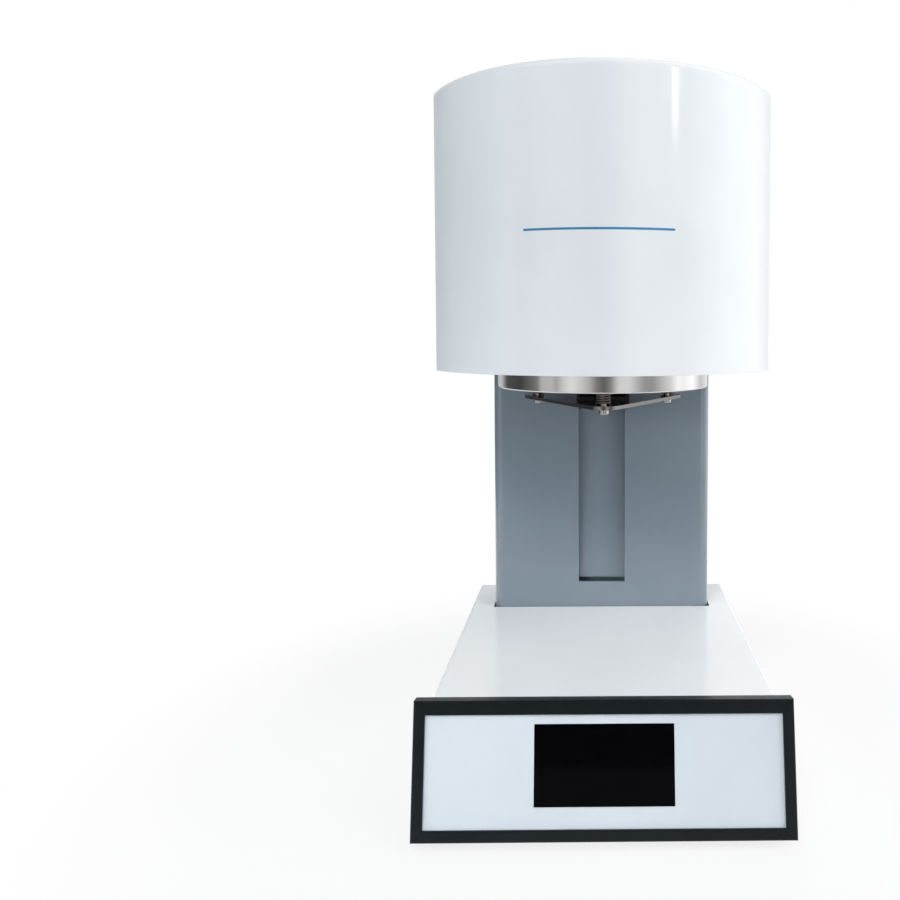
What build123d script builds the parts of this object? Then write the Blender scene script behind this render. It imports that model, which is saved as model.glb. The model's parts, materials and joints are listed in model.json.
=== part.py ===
from build123d import *
import os
from math import cos, hypot, radians, sin, sqrt, tan

# A bench-top vacuum furnace for dental work. Millimetres, +Z up, the front faces -Y.
# The origin is on the bench, under the middle of the overall box.

# ---- base and panel ----
panel_overhang = 12.0
panel_height = 103.0
panel_lean = 10.5
panel_depth = 12.0
foot_height = 8.0
foot_radius = 12.0
foot_chamfer = 1.5
foot_side_inset = 15.0
foot_end_inset = 22.0
base_margin = 24.0
base_depth = 286.2
base_top = 107.0
cover_lift = 1.0
base_edge_radius = 3.0
cover_sheet = 1.2
pan_sheet = 1.5
pan_wall_height = 15.0
rear_sheet = 1.5
rear_recess = 0.5
lip_width = 10.0
lip_gap = 1.0
lip_sheet = 1.2
fit_gap = 0.3

border_side = 9.0
border_bottom = 9.0
border_top = 10.5
border_lip = 2.0
rebate_width = 2.3
bezel_chamfer = 1.6
front_sheet = 2.0
window_width = 108.0
window_bottom = 24.7
window_top_margin = 17.7
glass_sheet = 1.8
glass_gap = 0.15
display_margin = 4.0
display_depth = 5.0
display_board_inset = 6.0
display_plug_half = 12.0
display_plug_height = 8.0
display_plug_depth = 7.0
bracket_sheet = 1.5
bracket_border = 5.0
bracket_flange = 8.0
bracket_foot = 16.0
bracket_foot_half = 100.0
bracket_bend = 2.0
vent_width = 3.0
vent_pitch = 8.0
side_vents = 7
side_vent_height = 36.0
side_vent_z = 56.0
side_vent_setback = 20.0
rear_vents = 6
rear_vent_half = 24.0

# ---- column ----
column_width = 222.0
column_depth = 63.0
column_rear_gap = 7.0
column_cap = 78.0
column_sheet = 2.0
column_corner = 9.0
column_lip = 12.0
column_foot = 15.0
column_foot_front = 25.0
column_foot_back = 22.0
column_screw_end = 15.0
column_gap = 1.0
column_window_side = 14.0
column_window_low = 10.0
column_window_high = 12.0
column_leg_drop = 2.0
column_cut_drop = 20.0
column_back_gap = 0.5
column_back_lift = 2.0
column_back_sheet = 1.5
slot_width = 47.5
slot_stop = 5.0
slot_head = 19.0
slot_recess = 8.0
slot_overlap = 2.5
slot_side_gap = 1.0
slot_end_gap = 2.5
slot_sheet = 1.5

# ---- head ----
head_margin = 35.0
head_shoulder = 16.0
head_bottom = 359.0
head_room = 38.0
head_sheet = 2.0
head_top_round = 6.0
head_side_round = 10.0
head_clearance = 4.5
head_plate_lift = 4.0
head_plate = 3.0
tab_size = 16.0
tab_shoulder_gap = 15.0
tab_sheet = 2.0
angle_width = 27.0
angle_height = 50.0
angle_depth = 50.0
angle_sheet = 3.0
gusset_inset = 4.0
gusset_drop = 10.0
head_vent_rows = 7
head_vent_columns = 3
head_vent_length = 44.0
head_vent_step = 56.0
head_vent_drop = 40.0
head_vent_pitch = 9.0

# ---- chamber ----
door_radius = 93.0
door_to_column = 9.0
door_hole_gap = 1.5
flange_land = 6.0
flange_height = 8.0
flange_step = 3.0
shell_sheet = 1.5
shell_foot = 1.5
shell_round = 2.0
lead_hole_gap = 1.0
muffle_radius = 46.0
muffle_wall = 3.0
muffle_height = 90.0
coil_wire = 1.3
coil_gap = 0.7
coil_turns = 12.5
coil_bottom_gap = 6.0
coil_top_gap = 10.0
ring_gap = 2.1
step_land = 8.0
step_width = 4.0
top_insulation = 60.0
lid_sheet = 3.0
probe_radius = 3.0
probe_reach = 14.0
probe_head = 20.0
probe_head_round = 2.0
terminal_radius = 5.0
terminal_height = 16.0
terminal_round = 0.8
lead_radius = 1.3
lead_gap = 1.0
lead_rise = 6.0

# ---- door ----
door_height = 20.4
door_reveal = 14.4
door_floor = 3.0
door_rim = 14.0
seal_wire = 2.4
seal_gap = 0.3
door_chamfer = 0.8
door_pad_wall = 3.0
door_pad_room = 1.0
plug_chamfer = 2.0
plug_clearance = 2.5
plug_height = 20.0
table_margin = 3.5
table_chamfer = 0.8
table_rows = 9
table_hole = 1.6
table_hole_floor = 2.0
table_height = 6.0

# ---- lift ----
lift_travel = 180.0
door_float = 3.0
spring_radius = 6.0
spring_wire = 0.8
spring_length = 11.1
spring_turns = 3.0
spider_plate_sheet = 3.0
spider_radius = 70.0
spider_tip = 13.0
bolt_radius = 2.5
bolt_gap = 0.08
bolt_head_radius = 4.3
bolt_head_height = 4.5
bolt_head_chamfer = 0.6
bolt_thread = 10.0
bolt_socket = 2.3
bolt_socket_depth = 2.5
bolt_bottom_gap = 0.5
arm_sheet = 2.5
arm_side_gap = 0.8
arm_gap = 0.6
arm_drop = 15.5
arm_front = 20.0
arm_deep_start = 52.0
arm_tab = 15.0
arm_screw_inset = 5.0
arm_jog_gap = 1.0
spider_screw_near = 5.0
spider_screw_far = 30.0
carriage_margin = 17.0
carriage_height = 40.0
carriage_depth = 26.0
carriage_above_arm = 4.0
carriage_chamfer = 2.0
carriage_bore_gap = 1.0
nut_foot = 2.0
rod_chamfer = 0.8
rod_spacing = 110.0
rod_radius = 6.0
bearing_radius = 10.5
bearing_cap = 10.0
screw_setback = 31.0
screw_radius = 6.0
journal_radius = 5.0
nut_radius = 11.0
nut_flange_radius = 16.0
nut_flange = 6.0
running_gap = 0.05
seat_gap = 0.02
shelf_sheet = 6.0
frame_sheet = 3.0
frame_margin = 20.0
frame_screw_side = 12.0
frame_screw_end = 30.0
neck_margin = 0.5
lower_stop = 20.0
upper_stop = 18.0
shelf_front = 5.0
motor_shelf_sheet = 4.0
motor_size = 57.0
motor_height = 54.0
motor_chamfer = 5.0
motor_screw_inset = 5.0
motor_bore = 14.5
rotor_gap = 0.5
rotor_end_gap = 14.0
motor_end = 10.0
shaft_radius = 3.175
coupling_radius = 9.0
coupling_gap = 1.0
coupling_height = 20.0
coupling_lift = 4.0
coupling_groove = 2.0

# ---- rear fittings ----
fan_size = 50.0
fan_depth = 15.0
fan_motor_gap = 3.5
fan_z = 55.0
fan_rim = 1.5
fan_corner = 3.0
fan_strut = 3.0
fan_shaft_radius = 1.5
fan_blade_chord = 8.4
fan_blade_sheet = 1.2
fan_blade_pitch = 40.0
fan_screw_inset = 4.0
fan_hub_radius = 11.0
fan_blade_root = 1.5
fan_blades = 7
fan_tip_gap = 1.3
guard_wire = 0.8
guard_ring_gap = 1.0
guard_rings = 3
inlet_z = 55.0
inlet_width = 27.0
inlet_height = 47.0
inlet_depth = 25.0
inlet_flange = 2.5
socket_width = 24.4
socket_height = 16.8
socket_depth = 16.0
socket_bottom = 4.0
socket_corner = 4.0
fitting_flange_side = 2.0
fitting_flange_end = 2.5
drawer_height = 8.6
drawer_width = 23.6
drawer_depth = 19.0
drawer_drop = 5.0
drawer_wall = 2.0
drawer_floor = 4.0
drawer_face = 1.5
drawer_face_side = 1.0
drawer_pull = 8.0
contact_width = 2.0
contact_height = 4.0
contact_setback = 2.0
contact_root = 4.0
# Each contact's place from the middle of the socket.
contact_places = ((-7.0, -2.0), (7.0, -2.0), (0.0, 2.0))
fitting_pitch = 36.0
pump_socket_z = 43.0
pump_socket_width = 28.0
pump_socket_motor_gap = 7.5
pump_socket_height = 26.0
pump_socket_wall = 2.0
pump_socket_moat = 2.0
pump_socket_depth = 8.0
pump_socket_step = 0.5
pump_contact_width = 2.4
pump_contact_height = 4.6
pump_contact_places = ((-5.5, -1.5), (5.5, -1.5), (0.0, 4.0))
switch_z = 78.0
switch_width = 27.0
switch_height = 21.0
switch_depth = 18.0
switch_floor = 4.0
switch_flange = 2.0
rocker_side_gap = 3.5
rocker_end_gap = 2.0
rocker_room = 0.5
rocker_room_end = 1.0
rocker_heel = 0.5
rocker_toe = 1.0
rocker_face = 6.0
rocker_dip = 1.4
pivot_radius = 1.5
pivot_setback = 2.0
pivot_cover = 1.0
pivot_end_gap = 0.5
rocker_tilt = 10.0
valve_side_gap = 1.0
port_fan_gap = 8.0
port_reach = 15.0
port_flange = 3.5
port_flange_radius = 7.0
port_radius = 4.0
port_chamfer = 0.8
port_tail = 8.0
port_nut_radius = 6.0
port_nut = 4.0
pipe_radius = 4.0
pipe_bore = 2.5
pipe_bend = 12.0
pipe_inset = 25.0
pipe_rise = 29.0
chamber_pipe_x = -45.0
chamber_pipe_setback = 27.0
valve_size = 28.0
valve_lift = 43.0
valve_height = 36.0
valve_corner = 2.0
valve_coil_radius = 9.0
valve_coil_length = 8.0

# ---- boards and supply on the pan ----
board_width = 110.0
board_depth = 76.0
board_sheet = 1.6
board_supply_gap = 20.0
board_front_gap = 62.0
board_stand = 8.0
board_stand_radius = 3.0
board_stand_inset = 5.0
# Each part's left and near edge from the board's corner, then its width, depth and height.
board_parts = (
    (8.0, 6.0, 22.0, 22.0, 3.0),
    (56.0, 8.0, 16.0, 30.0, 10.0),
    (6.0, 38.0, 12.0, 30.0, 12.0),
    (41.0, 48.0, 20.0, 20.0, 4.0),
    (80.0, 46.0, 20.0, 24.0, 14.0),
)
supply_width = 84.0
supply_depth = 110.0
supply_height = 34.0
supply_side_gap = 17.0
supply_front_gap = 62.0
supply_slots = 8
supply_slot_pitch = 10.0
supply_slot_width = 3.0
supply_slot_depth = 2.0
relay_width = 45.0
relay_depth = 58.0
relay_height = 25.0
relay_base = 4.0
relay_supply_gap = 59.0
relay_front_gap = 152.0
relay_edge = 2.0
relay_end_inset = 8.0
relay_end_height = 12.0

# ---- fasteners ----
small_shank = 1.5
small_head = 2.75
small_head_height = 2.0
small_length = 6.0
frame_shank = 2.0
frame_head = 3.5
frame_head_height = 3.0
frame_length = 8.0
drill_gap = 0.05
channel_gap = 0.5
past = 1.0  # how far a cutting shape runs past the face that it cuts

# ---- planes and heights that the sizes give ----
base_width = column_width + 2 * base_margin
panel_width = base_width + 2 * panel_overhang
head_width = column_width + 2 * head_margin
head_radius = head_width / 2 + head_shoulder
pump_socket_x = motor_size / 2 + pump_socket_motor_gap + pump_socket_width / 2
inlet_x = pump_socket_x + fitting_pitch
fan_x = -(motor_size + fan_size) / 2 - fan_motor_gap
port_z = fan_z + fan_size / 2 + port_fan_gap
port_x = column_sheet + valve_side_gap + valve_size / 2 - column_width / 2
supply_x = base_width / 2 - supply_side_gap - supply_width
board_x = supply_x - board_supply_gap - board_width
relay_x = supply_x - relay_supply_gap - relay_width
window_height = panel_height - window_bottom - window_top_margin
panel_lead = panel_height * sin(radians(panel_lean))
chamfer_lead = bezel_chamfer * sin(radians(panel_lean))
overall_depth = panel_lead - chamfer_lead + base_depth + port_reach
front_y = -overall_depth / 2 - chamfer_lead
back_y = front_y + panel_lead + base_depth
rear_face_y = back_y - rear_recess
rear_inner_y = rear_face_y - rear_sheet
pan_top = foot_height + pan_sheet
cover_bottom = foot_height + cover_lift

column_back_y = back_y - column_rear_gap
column_y = column_back_y - column_depth
column_lip_y = column_back_y - column_back_sheet
axis_y = column_y - door_to_column - door_radius
screw_y = column_y + screw_setback
slot_plate_y = column_y + slot_recess
slot_top = head_bottom + slot_head
slot_half = slot_width / 2
plate_half = slot_half + slot_overlap

head_plate_z = head_bottom + head_plate_lift
flange_z = head_plate_z + head_plate
chamber_z = flange_z + flange_height
door_hole_radius = door_radius + door_hole_gap
flange_radius = door_hole_radius + flange_land
shell_radius = door_radius
head_front_y = axis_y - flange_radius - head_clearance - head_sheet
head_arc_y = head_front_y + head_radius
head_shoulder_y = head_arc_y - sqrt(head_radius**2 - (head_width / 2) ** 2)
muffle_outer = muffle_radius + muffle_wall
coil_radius = muffle_outer + coil_gap + coil_wire
insulation_bore = coil_radius + coil_wire + ring_gap
insulation_radius = shell_radius - shell_sheet - fit_gap
step_radius = insulation_bore + step_land
muffle_top = chamber_z + muffle_height
lid_z = muffle_top + top_insulation
lead_x = coil_radius + 2 * coil_wire + lead_gap

door_bottom = head_bottom - door_reveal
door_top = door_bottom + door_height
plug_radius = muffle_radius - plug_clearance
plug_top = door_top + plug_height
bolt_pad_top = door_bottom + bolt_thread
bolt_pad_radius = bolt_radius + door_pad_wall
table_radius = plug_radius - table_margin
seal_radius = door_radius - door_rim / 2
spider_top = door_bottom - spring_length
spider_z = spider_top - spider_plate_sheet
arm_half = slot_half - arm_side_gap
arm_tail_half = plate_half + slot_side_gap + arm_sheet
arm_jog_y = column_y + column_sheet + arm_jog_gap
arm_top = door_bottom - door_float - arm_gap
arm_bottom = spider_top - arm_drop
carriage_z = arm_bottom + carriage_above_arm
carriage_top = carriage_z + carriage_height
carriage_front_y = screw_y - carriage_depth / 2
slot_bottom = arm_bottom - lift_travel - slot_stop
rod_x = rod_spacing / 2
bearing_length = carriage_height - bearing_cap
frame_half_width = rod_x + frame_margin
lower_shelf_z = carriage_z - lift_travel - lower_stop - shelf_sheet
upper_shelf_z = carriage_top + nut_flange + upper_stop
column_top = upper_shelf_z + shelf_sheet + column_cap
motor_shelf_z = lower_shelf_z - coupling_height - 2 * coupling_lift - motor_shelf_sheet
motor_bottom = motor_shelf_z - motor_height
coupling_z = motor_shelf_z + motor_shelf_sheet + coupling_lift
coupling_top = coupling_z + coupling_height
coupling_middle = coupling_z + coupling_height / 2
pipe_y = rear_inner_y - pipe_inset
port_tail_y = rear_inner_y - port_tail
pipe_top = lid_z + lid_sheet + pipe_rise
head_top = pipe_top + pipe_radius + head_room + head_sheet
chamber_pipe_y = axis_y + chamber_pipe_setback
valve_bottom = base_top + valve_lift
valve_top = valve_bottom + valve_height
fan_duct_radius = fan_size / 2 - fan_rim
fan_front_y = rear_inner_y - fan_depth
outer_y = rear_face_y + inlet_flange
pivot_y = rear_face_y - pivot_setback
rocker_width = switch_width - 2 * rocker_side_gap
rocker_height = switch_height - 2 * rocker_end_gap


# ---- basic shapes ----
def block(xs, ys, zs):
    low = Vector(xs[0], ys[0], zs[0])
    high = Vector(xs[1], ys[1], zs[1])
    size = high - low
    middle = (low + high) / 2
    return Pos(middle) * Box(size.X, size.Y, size.Z)


def wide(half, ys, zs):
    return block((-half, half), ys, zs)


def post(x, y, zs, radius):
    return Pos(x, y, (zs[0] + zs[1]) / 2) * Cylinder(radius, zs[1] - zs[0])


def along_y(x, z, ys, radius):
    return Pos(x, (ys[0] + ys[1]) / 2, z) * Rot(90, 0, 0) * Cylinder(radius, ys[1] - ys[0])


def along_x(y, z, xs, radius):
    return Pos((xs[0] + xs[1]) / 2, y, z) * Rot(0, 90, 0) * Cylinder(radius, xs[1] - xs[0])


def tube(x, y, zs, outer, inner):
    return post(x, y, zs, outer) - post(x, y, zs, inner)


def both_sides(shape):
    return [shape, mirror(shape, about=Plane.YZ)]


def group(shapes):
    return Compound(children=list(shapes))


# A place for a screw: its seat, with the direction that its head stands out.
def seat(x, y, z, out):
    return Plane(origin=(x, y, z), z_dir=out).location


def screws(places, shank, length, head, head_height):
    shaft = Pos(0, 0, -length / 2) * Cylinder(shank, length)
    cap = Pos(0, 0, head_height / 2) * Cylinder(head, head_height)
    return [place * (shaft + cap) for place in places]


def drill(shape, places, shank, length):
    hole = Pos(0, 0, -length / 2) * Cylinder(shank + drill_gap, length + 2 * drill_gap)
    for place in places:
        shape = shape - place * hole
    return shape


def small_drill(shape, places):
    return drill(shape, places, small_shank, small_length)


def frame_drill(shape, places):
    return drill(shape, places, frame_shank, frame_length)


# ---- the leaning panel's own plane: x across, y up the panel, z out of its face ----
lean = radians(panel_lean)
panel_plane = Plane(
    origin=(0, front_y, foot_height), x_dir=(1, 0, 0), z_dir=(0, -cos(lean), sin(lean))
)
opening_half = panel_width / 2 - border_side
opening_low = border_bottom
opening_high = panel_height - border_top
rebate_half = opening_half + rebate_width
rebate_low = opening_low - rebate_width
rebate_high = opening_high + rebate_width
sheet_half = rebate_half - fit_gap
sheet_low = rebate_low + fit_gap
sheet_high = rebate_high - fit_gap
panel_back_z = -border_lip - front_sheet


def on_panel(shape):
    return panel_plane.location * shape


def bezel_back_y(z):
    return front_y + (z - foot_height + panel_depth * sin(lean)) * tan(lean) + panel_depth * cos(lean)


# ---- screw places ----
foot_places = [
    (x, y)
    for x in (foot_side_inset - base_width / 2, base_width / 2 - foot_side_inset)
    for y in (bezel_back_y(pan_top) + foot_end_inset, rear_inner_y - foot_end_inset)
]
foot_seats = [seat(x, y, pan_top, (0, 0, 1)) for x, y in foot_places]

bezel_screw_z = panel_back_z - (bracket_sheet + bracket_flange) / 2
bezel_seats = [
    panel_plane.location * seat(side * (sheet_half - bracket_sheet), y, bezel_screw_z, (-side, 0, 0))
    for side in (-1, 1)
    for y in (panel_height * 0.25, panel_height * 0.75)
]

pan_screw_z = foot_height + pan_wall_height * 0.6
cover_seats = [
    seat(side * base_width / 2, y, pan_screw_z, (side, 0, 0))
    for side in (-1, 1)
    for y in (front_y + base_depth * 0.2, front_y + base_depth * 0.55, back_y - base_depth * 0.08)
]

rear_lip_x = base_width / 2 - cover_sheet - lip_width / 2
rear_panel_seats = [
    seat(x, rear_face_y, z, (0, 1, 0))
    for x, z in (
        (-rear_lip_x, base_top - 2 * lip_width),
        (rear_lip_x, base_top - 2 * lip_width),
        (-rear_lip_x, pan_screw_z),
        (rear_lip_x, pan_screw_z),
        (0, pan_screw_z),
    )
]

head_lip_x = head_width / 2 - head_sheet - lip_width / 2
head_height = head_top - head_bottom
head_back_seats = [
    seat(x, rear_face_y, z, (0, 1, 0))
    for x, z in (
        (-head_lip_x, head_bottom + head_height * 0.15),
        (head_lip_x, head_bottom + head_height * 0.15),
        (-head_lip_x, head_bottom + head_height * 0.5),
        (head_lip_x, head_bottom + head_height * 0.5),
        (-head_lip_x, head_bottom + head_height * 0.85),
        (head_lip_x, head_bottom + head_height * 0.85),
        (0, head_top - head_sheet - lip_width / 2),
    )
]

column_lip_x = column_width / 2 - column_sheet - column_lip / 2
column_back_seats = [
    seat(side * column_lip_x, column_back_y, z, (0, 1, 0))
    for side in (-1, 1)
    for z in (base_top + column_screw_end, (base_top + column_top) / 2, column_top - column_screw_end)
]

tab_x = head_width / 2 - head_sheet - tab_size / 2
tab_ys = (head_shoulder_y + tab_shoulder_gap, column_y - 2 * tab_size)
tab_seats = [seat(side * tab_x, y, head_plate_z, (0, 0, -1)) for side in (-1, 1) for y in tab_ys]

flange_screw_radius = door_hole_radius + flange_land / 2
flange_seats = [
    Pos(0, axis_y, chamber_z + shell_foot) * Rot(0, 0, angle) * Pos(0, -flange_screw_radius, 0)
    for angle in range(0, 360, 60)
]

angle_y = (column_y + column_back_y) / 2
angle_side_x = column_width / 2 + angle_sheet
angle_flat_x = column_width / 2 + angle_width * 0.6
angle_ys = (angle_y - angle_depth / 4, angle_y + angle_depth / 4)
angle_seats = [
    seat(side * angle_side_x, y, flange_z + angle_height * 0.6, (side, 0, 0))
    for side in (-1, 1)
    for y in angle_ys
] + [
    seat(side * angle_flat_x, y, flange_z + angle_sheet, (0, 0, 1))
    for side in (-1, 1)
    for y in angle_ys
]

frame_plate_y = column_lip_y - frame_sheet
frame_seats = [
    seat(side * (frame_half_width - frame_screw_side), frame_plate_y, z, (0, -1, 0))
    for side in (-1, 1)
    for z in (lower_shelf_z + frame_screw_end, upper_shelf_z - frame_screw_end)
]

motor_screw_half = motor_size / 2 - motor_screw_inset
motor_seats = [
    seat(x, screw_y + y, motor_shelf_z + motor_shelf_sheet, (0, 0, 1))
    for x in (-motor_screw_half, motor_screw_half)
    for y in (-motor_screw_half, motor_screw_half)
]

column_foot_x = column_width / 2 - column_sheet - column_foot / 2
column_foot_seats = [
    seat(side * column_foot_x, y, foot_height, (0, 0, -1))
    for side in (-1, 1)
    for y in angle_ys
]

arm_tab_x = arm_tail_half + arm_tab / 2
arm_tab_seats = [
    seat(side * arm_tab_x, carriage_front_y - arm_sheet, z, (0, -1, 0))
    for side in (-1, 1)
    for z in (carriage_z + arm_screw_inset, arm_top - arm_screw_inset)
]
spider_screw_x = arm_half / 2
spider_seats = [
    seat(side * spider_screw_x, y, spider_z, (0, 0, -1))
    for side in (-1, 1)
    for y in (axis_y + spider_screw_near, axis_y + spider_screw_far)
]
bolt_points = [
    (spider_radius * cos(radians(angle)), axis_y + spider_radius * sin(radians(angle)))
    for angle in (30, 150, 270)
]

guard_corner = fan_size / 2 - fan_screw_inset
guard_seats = [
    seat(fan_x + x, rear_face_y + 2 * guard_wire, fan_z + z, (0, 1, 0))
    for x in (-guard_corner, guard_corner)
    for z in (-guard_corner, guard_corner)
]


# ---- base ----
def base_pan():
    half = base_width / 2 - cover_sheet - fit_gap
    wall_top = foot_height + pan_wall_height
    front = bezel_back_y(wall_top) + fit_gap
    pan = wide(half, (front, rear_inner_y), (foot_height, wall_top))
    inside = wide(half - pan_sheet, (front - past, rear_inner_y - pan_sheet), (pan_top, wall_top + past))
    pan = pan - inside
    pan = small_drill(pan, cover_seats + rear_panel_seats)
    return frame_drill(pan, foot_seats + column_foot_seats)


def rubber_feet():
    feet = []
    for x, y in foot_places:
        foot = post(x, y, (0, foot_height), foot_radius)
        foot = chamfer(foot.edges().sort_by(Axis.Z)[0], foot_chamfer)
        feet.append(frame_drill(foot, foot_seats))
    return group(feet)


def base_cover():
    low = (bezel_back_y(cover_bottom), cover_bottom)
    high = (bezel_back_y(base_top), base_top)
    side = Polyline(low, high, (back_y, base_top), (back_y, cover_bottom), close=True)
    outer = extrude(Plane.YZ * make_face(side), base_width / 2, both=True)
    top_edges = outer.edges().filter_by(Axis.Y).sort_by(Axis.Z)[-2:]
    outer = fillet(top_edges, base_edge_radius)
    half = base_width / 2 - cover_sheet
    room_top = base_top - cover_sheet
    room = wide(half, (front_y, back_y + past), (0, room_top))
    room_edges = room.edges().filter_by(Axis.Y).sort_by(Axis.Z)[-2:]
    room = fillet(room_edges, base_edge_radius - cover_sheet)
    lip_low = foot_height + pan_wall_height + lip_gap
    lips = wide(half, (rear_inner_y - lip_sheet, rear_inner_y), (lip_low, room_top))
    lips = lips - wide(half - lip_width, (0, back_y), (0, room_top - lip_width))
    cover = outer - room + lips
    cut_half = column_width / 2 + column_gap
    cut_zs = (base_top - column_cut_drop, base_top + past)
    cut = wide(cut_half, (column_y - column_gap, column_back_y + column_gap), cut_zs)
    cover = cover - cut
    vent_zs = (side_vent_z - side_vent_height / 2, side_vent_z + side_vent_height / 2)
    for index in range(side_vents):
        y = axis_y + side_vent_setback + vent_pitch * index
        cover = cover - wide(base_width, (y, y + vent_width), vent_zs)
    return small_drill(cover, cover_seats + rear_panel_seats)


def rear_panel():
    half = base_width / 2 - cover_sheet - fit_gap
    plate = wide(half, (rear_inner_y, rear_face_y), (pan_top, base_top - cover_sheet - fit_gap))
    plate = fillet(plate.edges().filter_by(Axis.Y).sort_by(Axis.Z)[-2:], base_edge_radius)
    through = (rear_inner_y - past, rear_face_y + past)
    plate = plate - along_y(fan_x, fan_z, through, fan_duct_radius)
    for x, z, width, height in (
        (inlet_x, inlet_z, inlet_width, inlet_height),
        (pump_socket_x, pump_socket_z, pump_socket_width, pump_socket_height),
        (pump_socket_x, switch_z, switch_width, switch_height),
    ):
        half_x = width / 2 + drill_gap
        half_z = height / 2 + drill_gap
        plate = plate - block((x - half_x, x + half_x), through, (z - half_z, z + half_z))
    plate = plate - along_y(port_x, port_z, through, port_radius + drill_gap)
    for index in range(rear_vents):
        z = fan_z + vent_pitch * (index - rear_vents / 2)
        plate = plate - wide(rear_vent_half, through, (z, z + vent_width))
    return small_drill(plate, rear_panel_seats + guard_seats)


def bezel_frame():
    frame = wide(panel_width / 2, (0, panel_height), (-panel_depth, 0))
    front_edges = frame.faces().sort_by(Axis.Z)[-1].edges()
    frame = chamfer(front_edges, bezel_chamfer)
    frame = frame - wide(opening_half, (opening_low, opening_high), (-panel_depth - past, past))
    frame = frame - wide(rebate_half, (rebate_low, rebate_high), (-panel_depth - past, -border_lip))
    return small_drill(on_panel(frame), bezel_seats)


def front_panel():
    sheet = wide(sheet_half, (sheet_low, sheet_high), (panel_back_z, -border_lip))
    high = window_bottom + window_height
    window = wide(window_width / 2, (window_bottom, high), (panel_back_z - past, past))
    return on_panel(sheet - window)


def screen_glass():
    half = window_width / 2 - glass_gap
    ys = (window_bottom + glass_gap, window_bottom + window_height - glass_gap)
    return on_panel(wide(half, ys, (panel_back_z, panel_back_z + glass_sheet)))


def display_module():
    half = window_width / 2 + display_margin
    low = window_bottom - display_margin
    high = window_bottom + window_height + display_margin
    back_z = panel_back_z - display_depth
    panel = wide(half, (low, high), (back_z, panel_back_z))
    inset = display_board_inset
    board = wide(half - inset, (low + inset, high - inset), (back_z - board_sheet, back_z))
    plug_ys = (low + 2 * inset, low + 2 * inset + display_plug_height)
    plug = wide(display_plug_half, plug_ys, (back_z - display_plug_depth, back_z))
    return on_panel(panel + board + plug)


def front_bracket():
    ring = wide(sheet_half, (sheet_low, sheet_high), (panel_back_z - bracket_sheet, panel_back_z))
    inner_ys = (sheet_low + bracket_border, sheet_high - bracket_border)
    ring = ring - wide(sheet_half - bracket_border, inner_ys, (-panel_depth, past))
    flange_xs = (sheet_half - bracket_sheet, sheet_half)
    side = block(flange_xs, (sheet_low, sheet_high), (panel_back_z - bracket_flange, panel_back_z))
    fall = (foot_height + sheet_low * cos(lean) - pan_top) / sin(lean)
    shelf = wide(bracket_foot_half, (sheet_low, sheet_low + bracket_sheet), (-fall, panel_back_z))
    bracket = on_panel(ring + both_sides(side) + shelf)
    foot_y = front_y + sheet_low * sin(lean) + fall * cos(lean)
    foot_ys = (foot_y - bracket_bend, foot_y + bracket_foot)
    foot = wide(bracket_foot_half, foot_ys, (pan_top, pan_top + bracket_sheet))
    return small_drill(bracket + foot, bezel_seats)


def on_pan(x, front_gap, lift, size):
    # A box on the pan, from its left side and from the panel's foot.
    y = front_y + front_gap
    z = pan_top + lift
    return block((x, x + size[0]), (y, y + size[1]), (z, z + size[2]))


def control_board():
    board = on_pan(board_x, board_front_gap, board_stand, (board_width, board_depth, board_sheet))
    for left, near, *size in board_parts:
        part = on_pan(board_x + left, board_front_gap + near, board_stand + board_sheet, size)
        board = board + part
    near = front_y + board_front_gap
    for x in (board_x + board_stand_inset, board_x + board_width - board_stand_inset):
        for y in (near + board_stand_inset, near + board_depth - board_stand_inset):
            board = board + post(x, y, (pan_top, pan_top + board_stand), board_stand_radius)
    return board


def power_supply():
    box = on_pan(supply_x, supply_front_gap, 0, (supply_width, supply_depth, supply_height))
    slot_size = (supply_width - 2 * supply_slot_pitch, supply_slot_width, supply_slot_depth + past)
    slot_lift = supply_height - supply_slot_depth
    for index in range(supply_slots):
        slot_front = supply_front_gap + supply_slot_pitch * (index + 1)
        box = box - on_pan(supply_x + supply_slot_pitch, slot_front, slot_lift, slot_size)
    return box


def solid_state_relay():
    plate = on_pan(relay_x, relay_front_gap, 0, (relay_width, relay_depth, relay_base))
    body_size = (relay_width - 2 * relay_edge, relay_depth - 2 * relay_edge, relay_height)
    body = on_pan(relay_x + relay_edge, relay_front_gap + relay_edge, 0, body_size)
    ends_size = (relay_width - 2 * relay_end_inset, relay_depth, relay_end_height)
    ends = on_pan(relay_x + relay_end_inset, relay_front_gap, 0, ends_size)
    return plate + body + ends


# ---- rear fittings ----
drawer_z = inlet_z + inlet_height / 2 - drawer_height / 2 - drawer_drop
plug_z = inlet_z - inlet_height / 2 + socket_height / 2 + socket_bottom


def centred(x, z, width, height, ys):
    return block((x - width / 2, x + width / 2), ys, (z - height / 2, z + height / 2))


# A fitting that snaps into the rear panel: its body behind the panel and its flange in front.
def panel_fitting(x, z, width, height, depth, flange):
    body = centred(x, z, width, height, (rear_face_y - depth, rear_face_y))
    flange_width = width + 2 * fitting_flange_side
    flange_height = height + 2 * fitting_flange_end
    return body + centred(x, z, flange_width, flange_height, (rear_face_y, rear_face_y + flange))


def power_inlet():
    body = panel_fitting(inlet_x, inlet_z, inlet_width, inlet_height, inlet_depth, inlet_flange)
    socket = centred(inlet_x, plug_z, socket_width, socket_height, (outer_y - socket_depth, outer_y + past))
    upper = socket.edges().filter_by(Axis.Y).sort_by(Axis.Z)[-2:]
    body = body - chamfer(upper, socket_corner)
    room_width = drawer_width + 2 * fit_gap
    room_height = drawer_height + 2 * fit_gap
    room_ys = (outer_y - drawer_depth - fit_gap, outer_y + past)
    body = body - centred(inlet_x, drawer_z, room_width, room_height, room_ys)
    return body - contact_blades()


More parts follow.
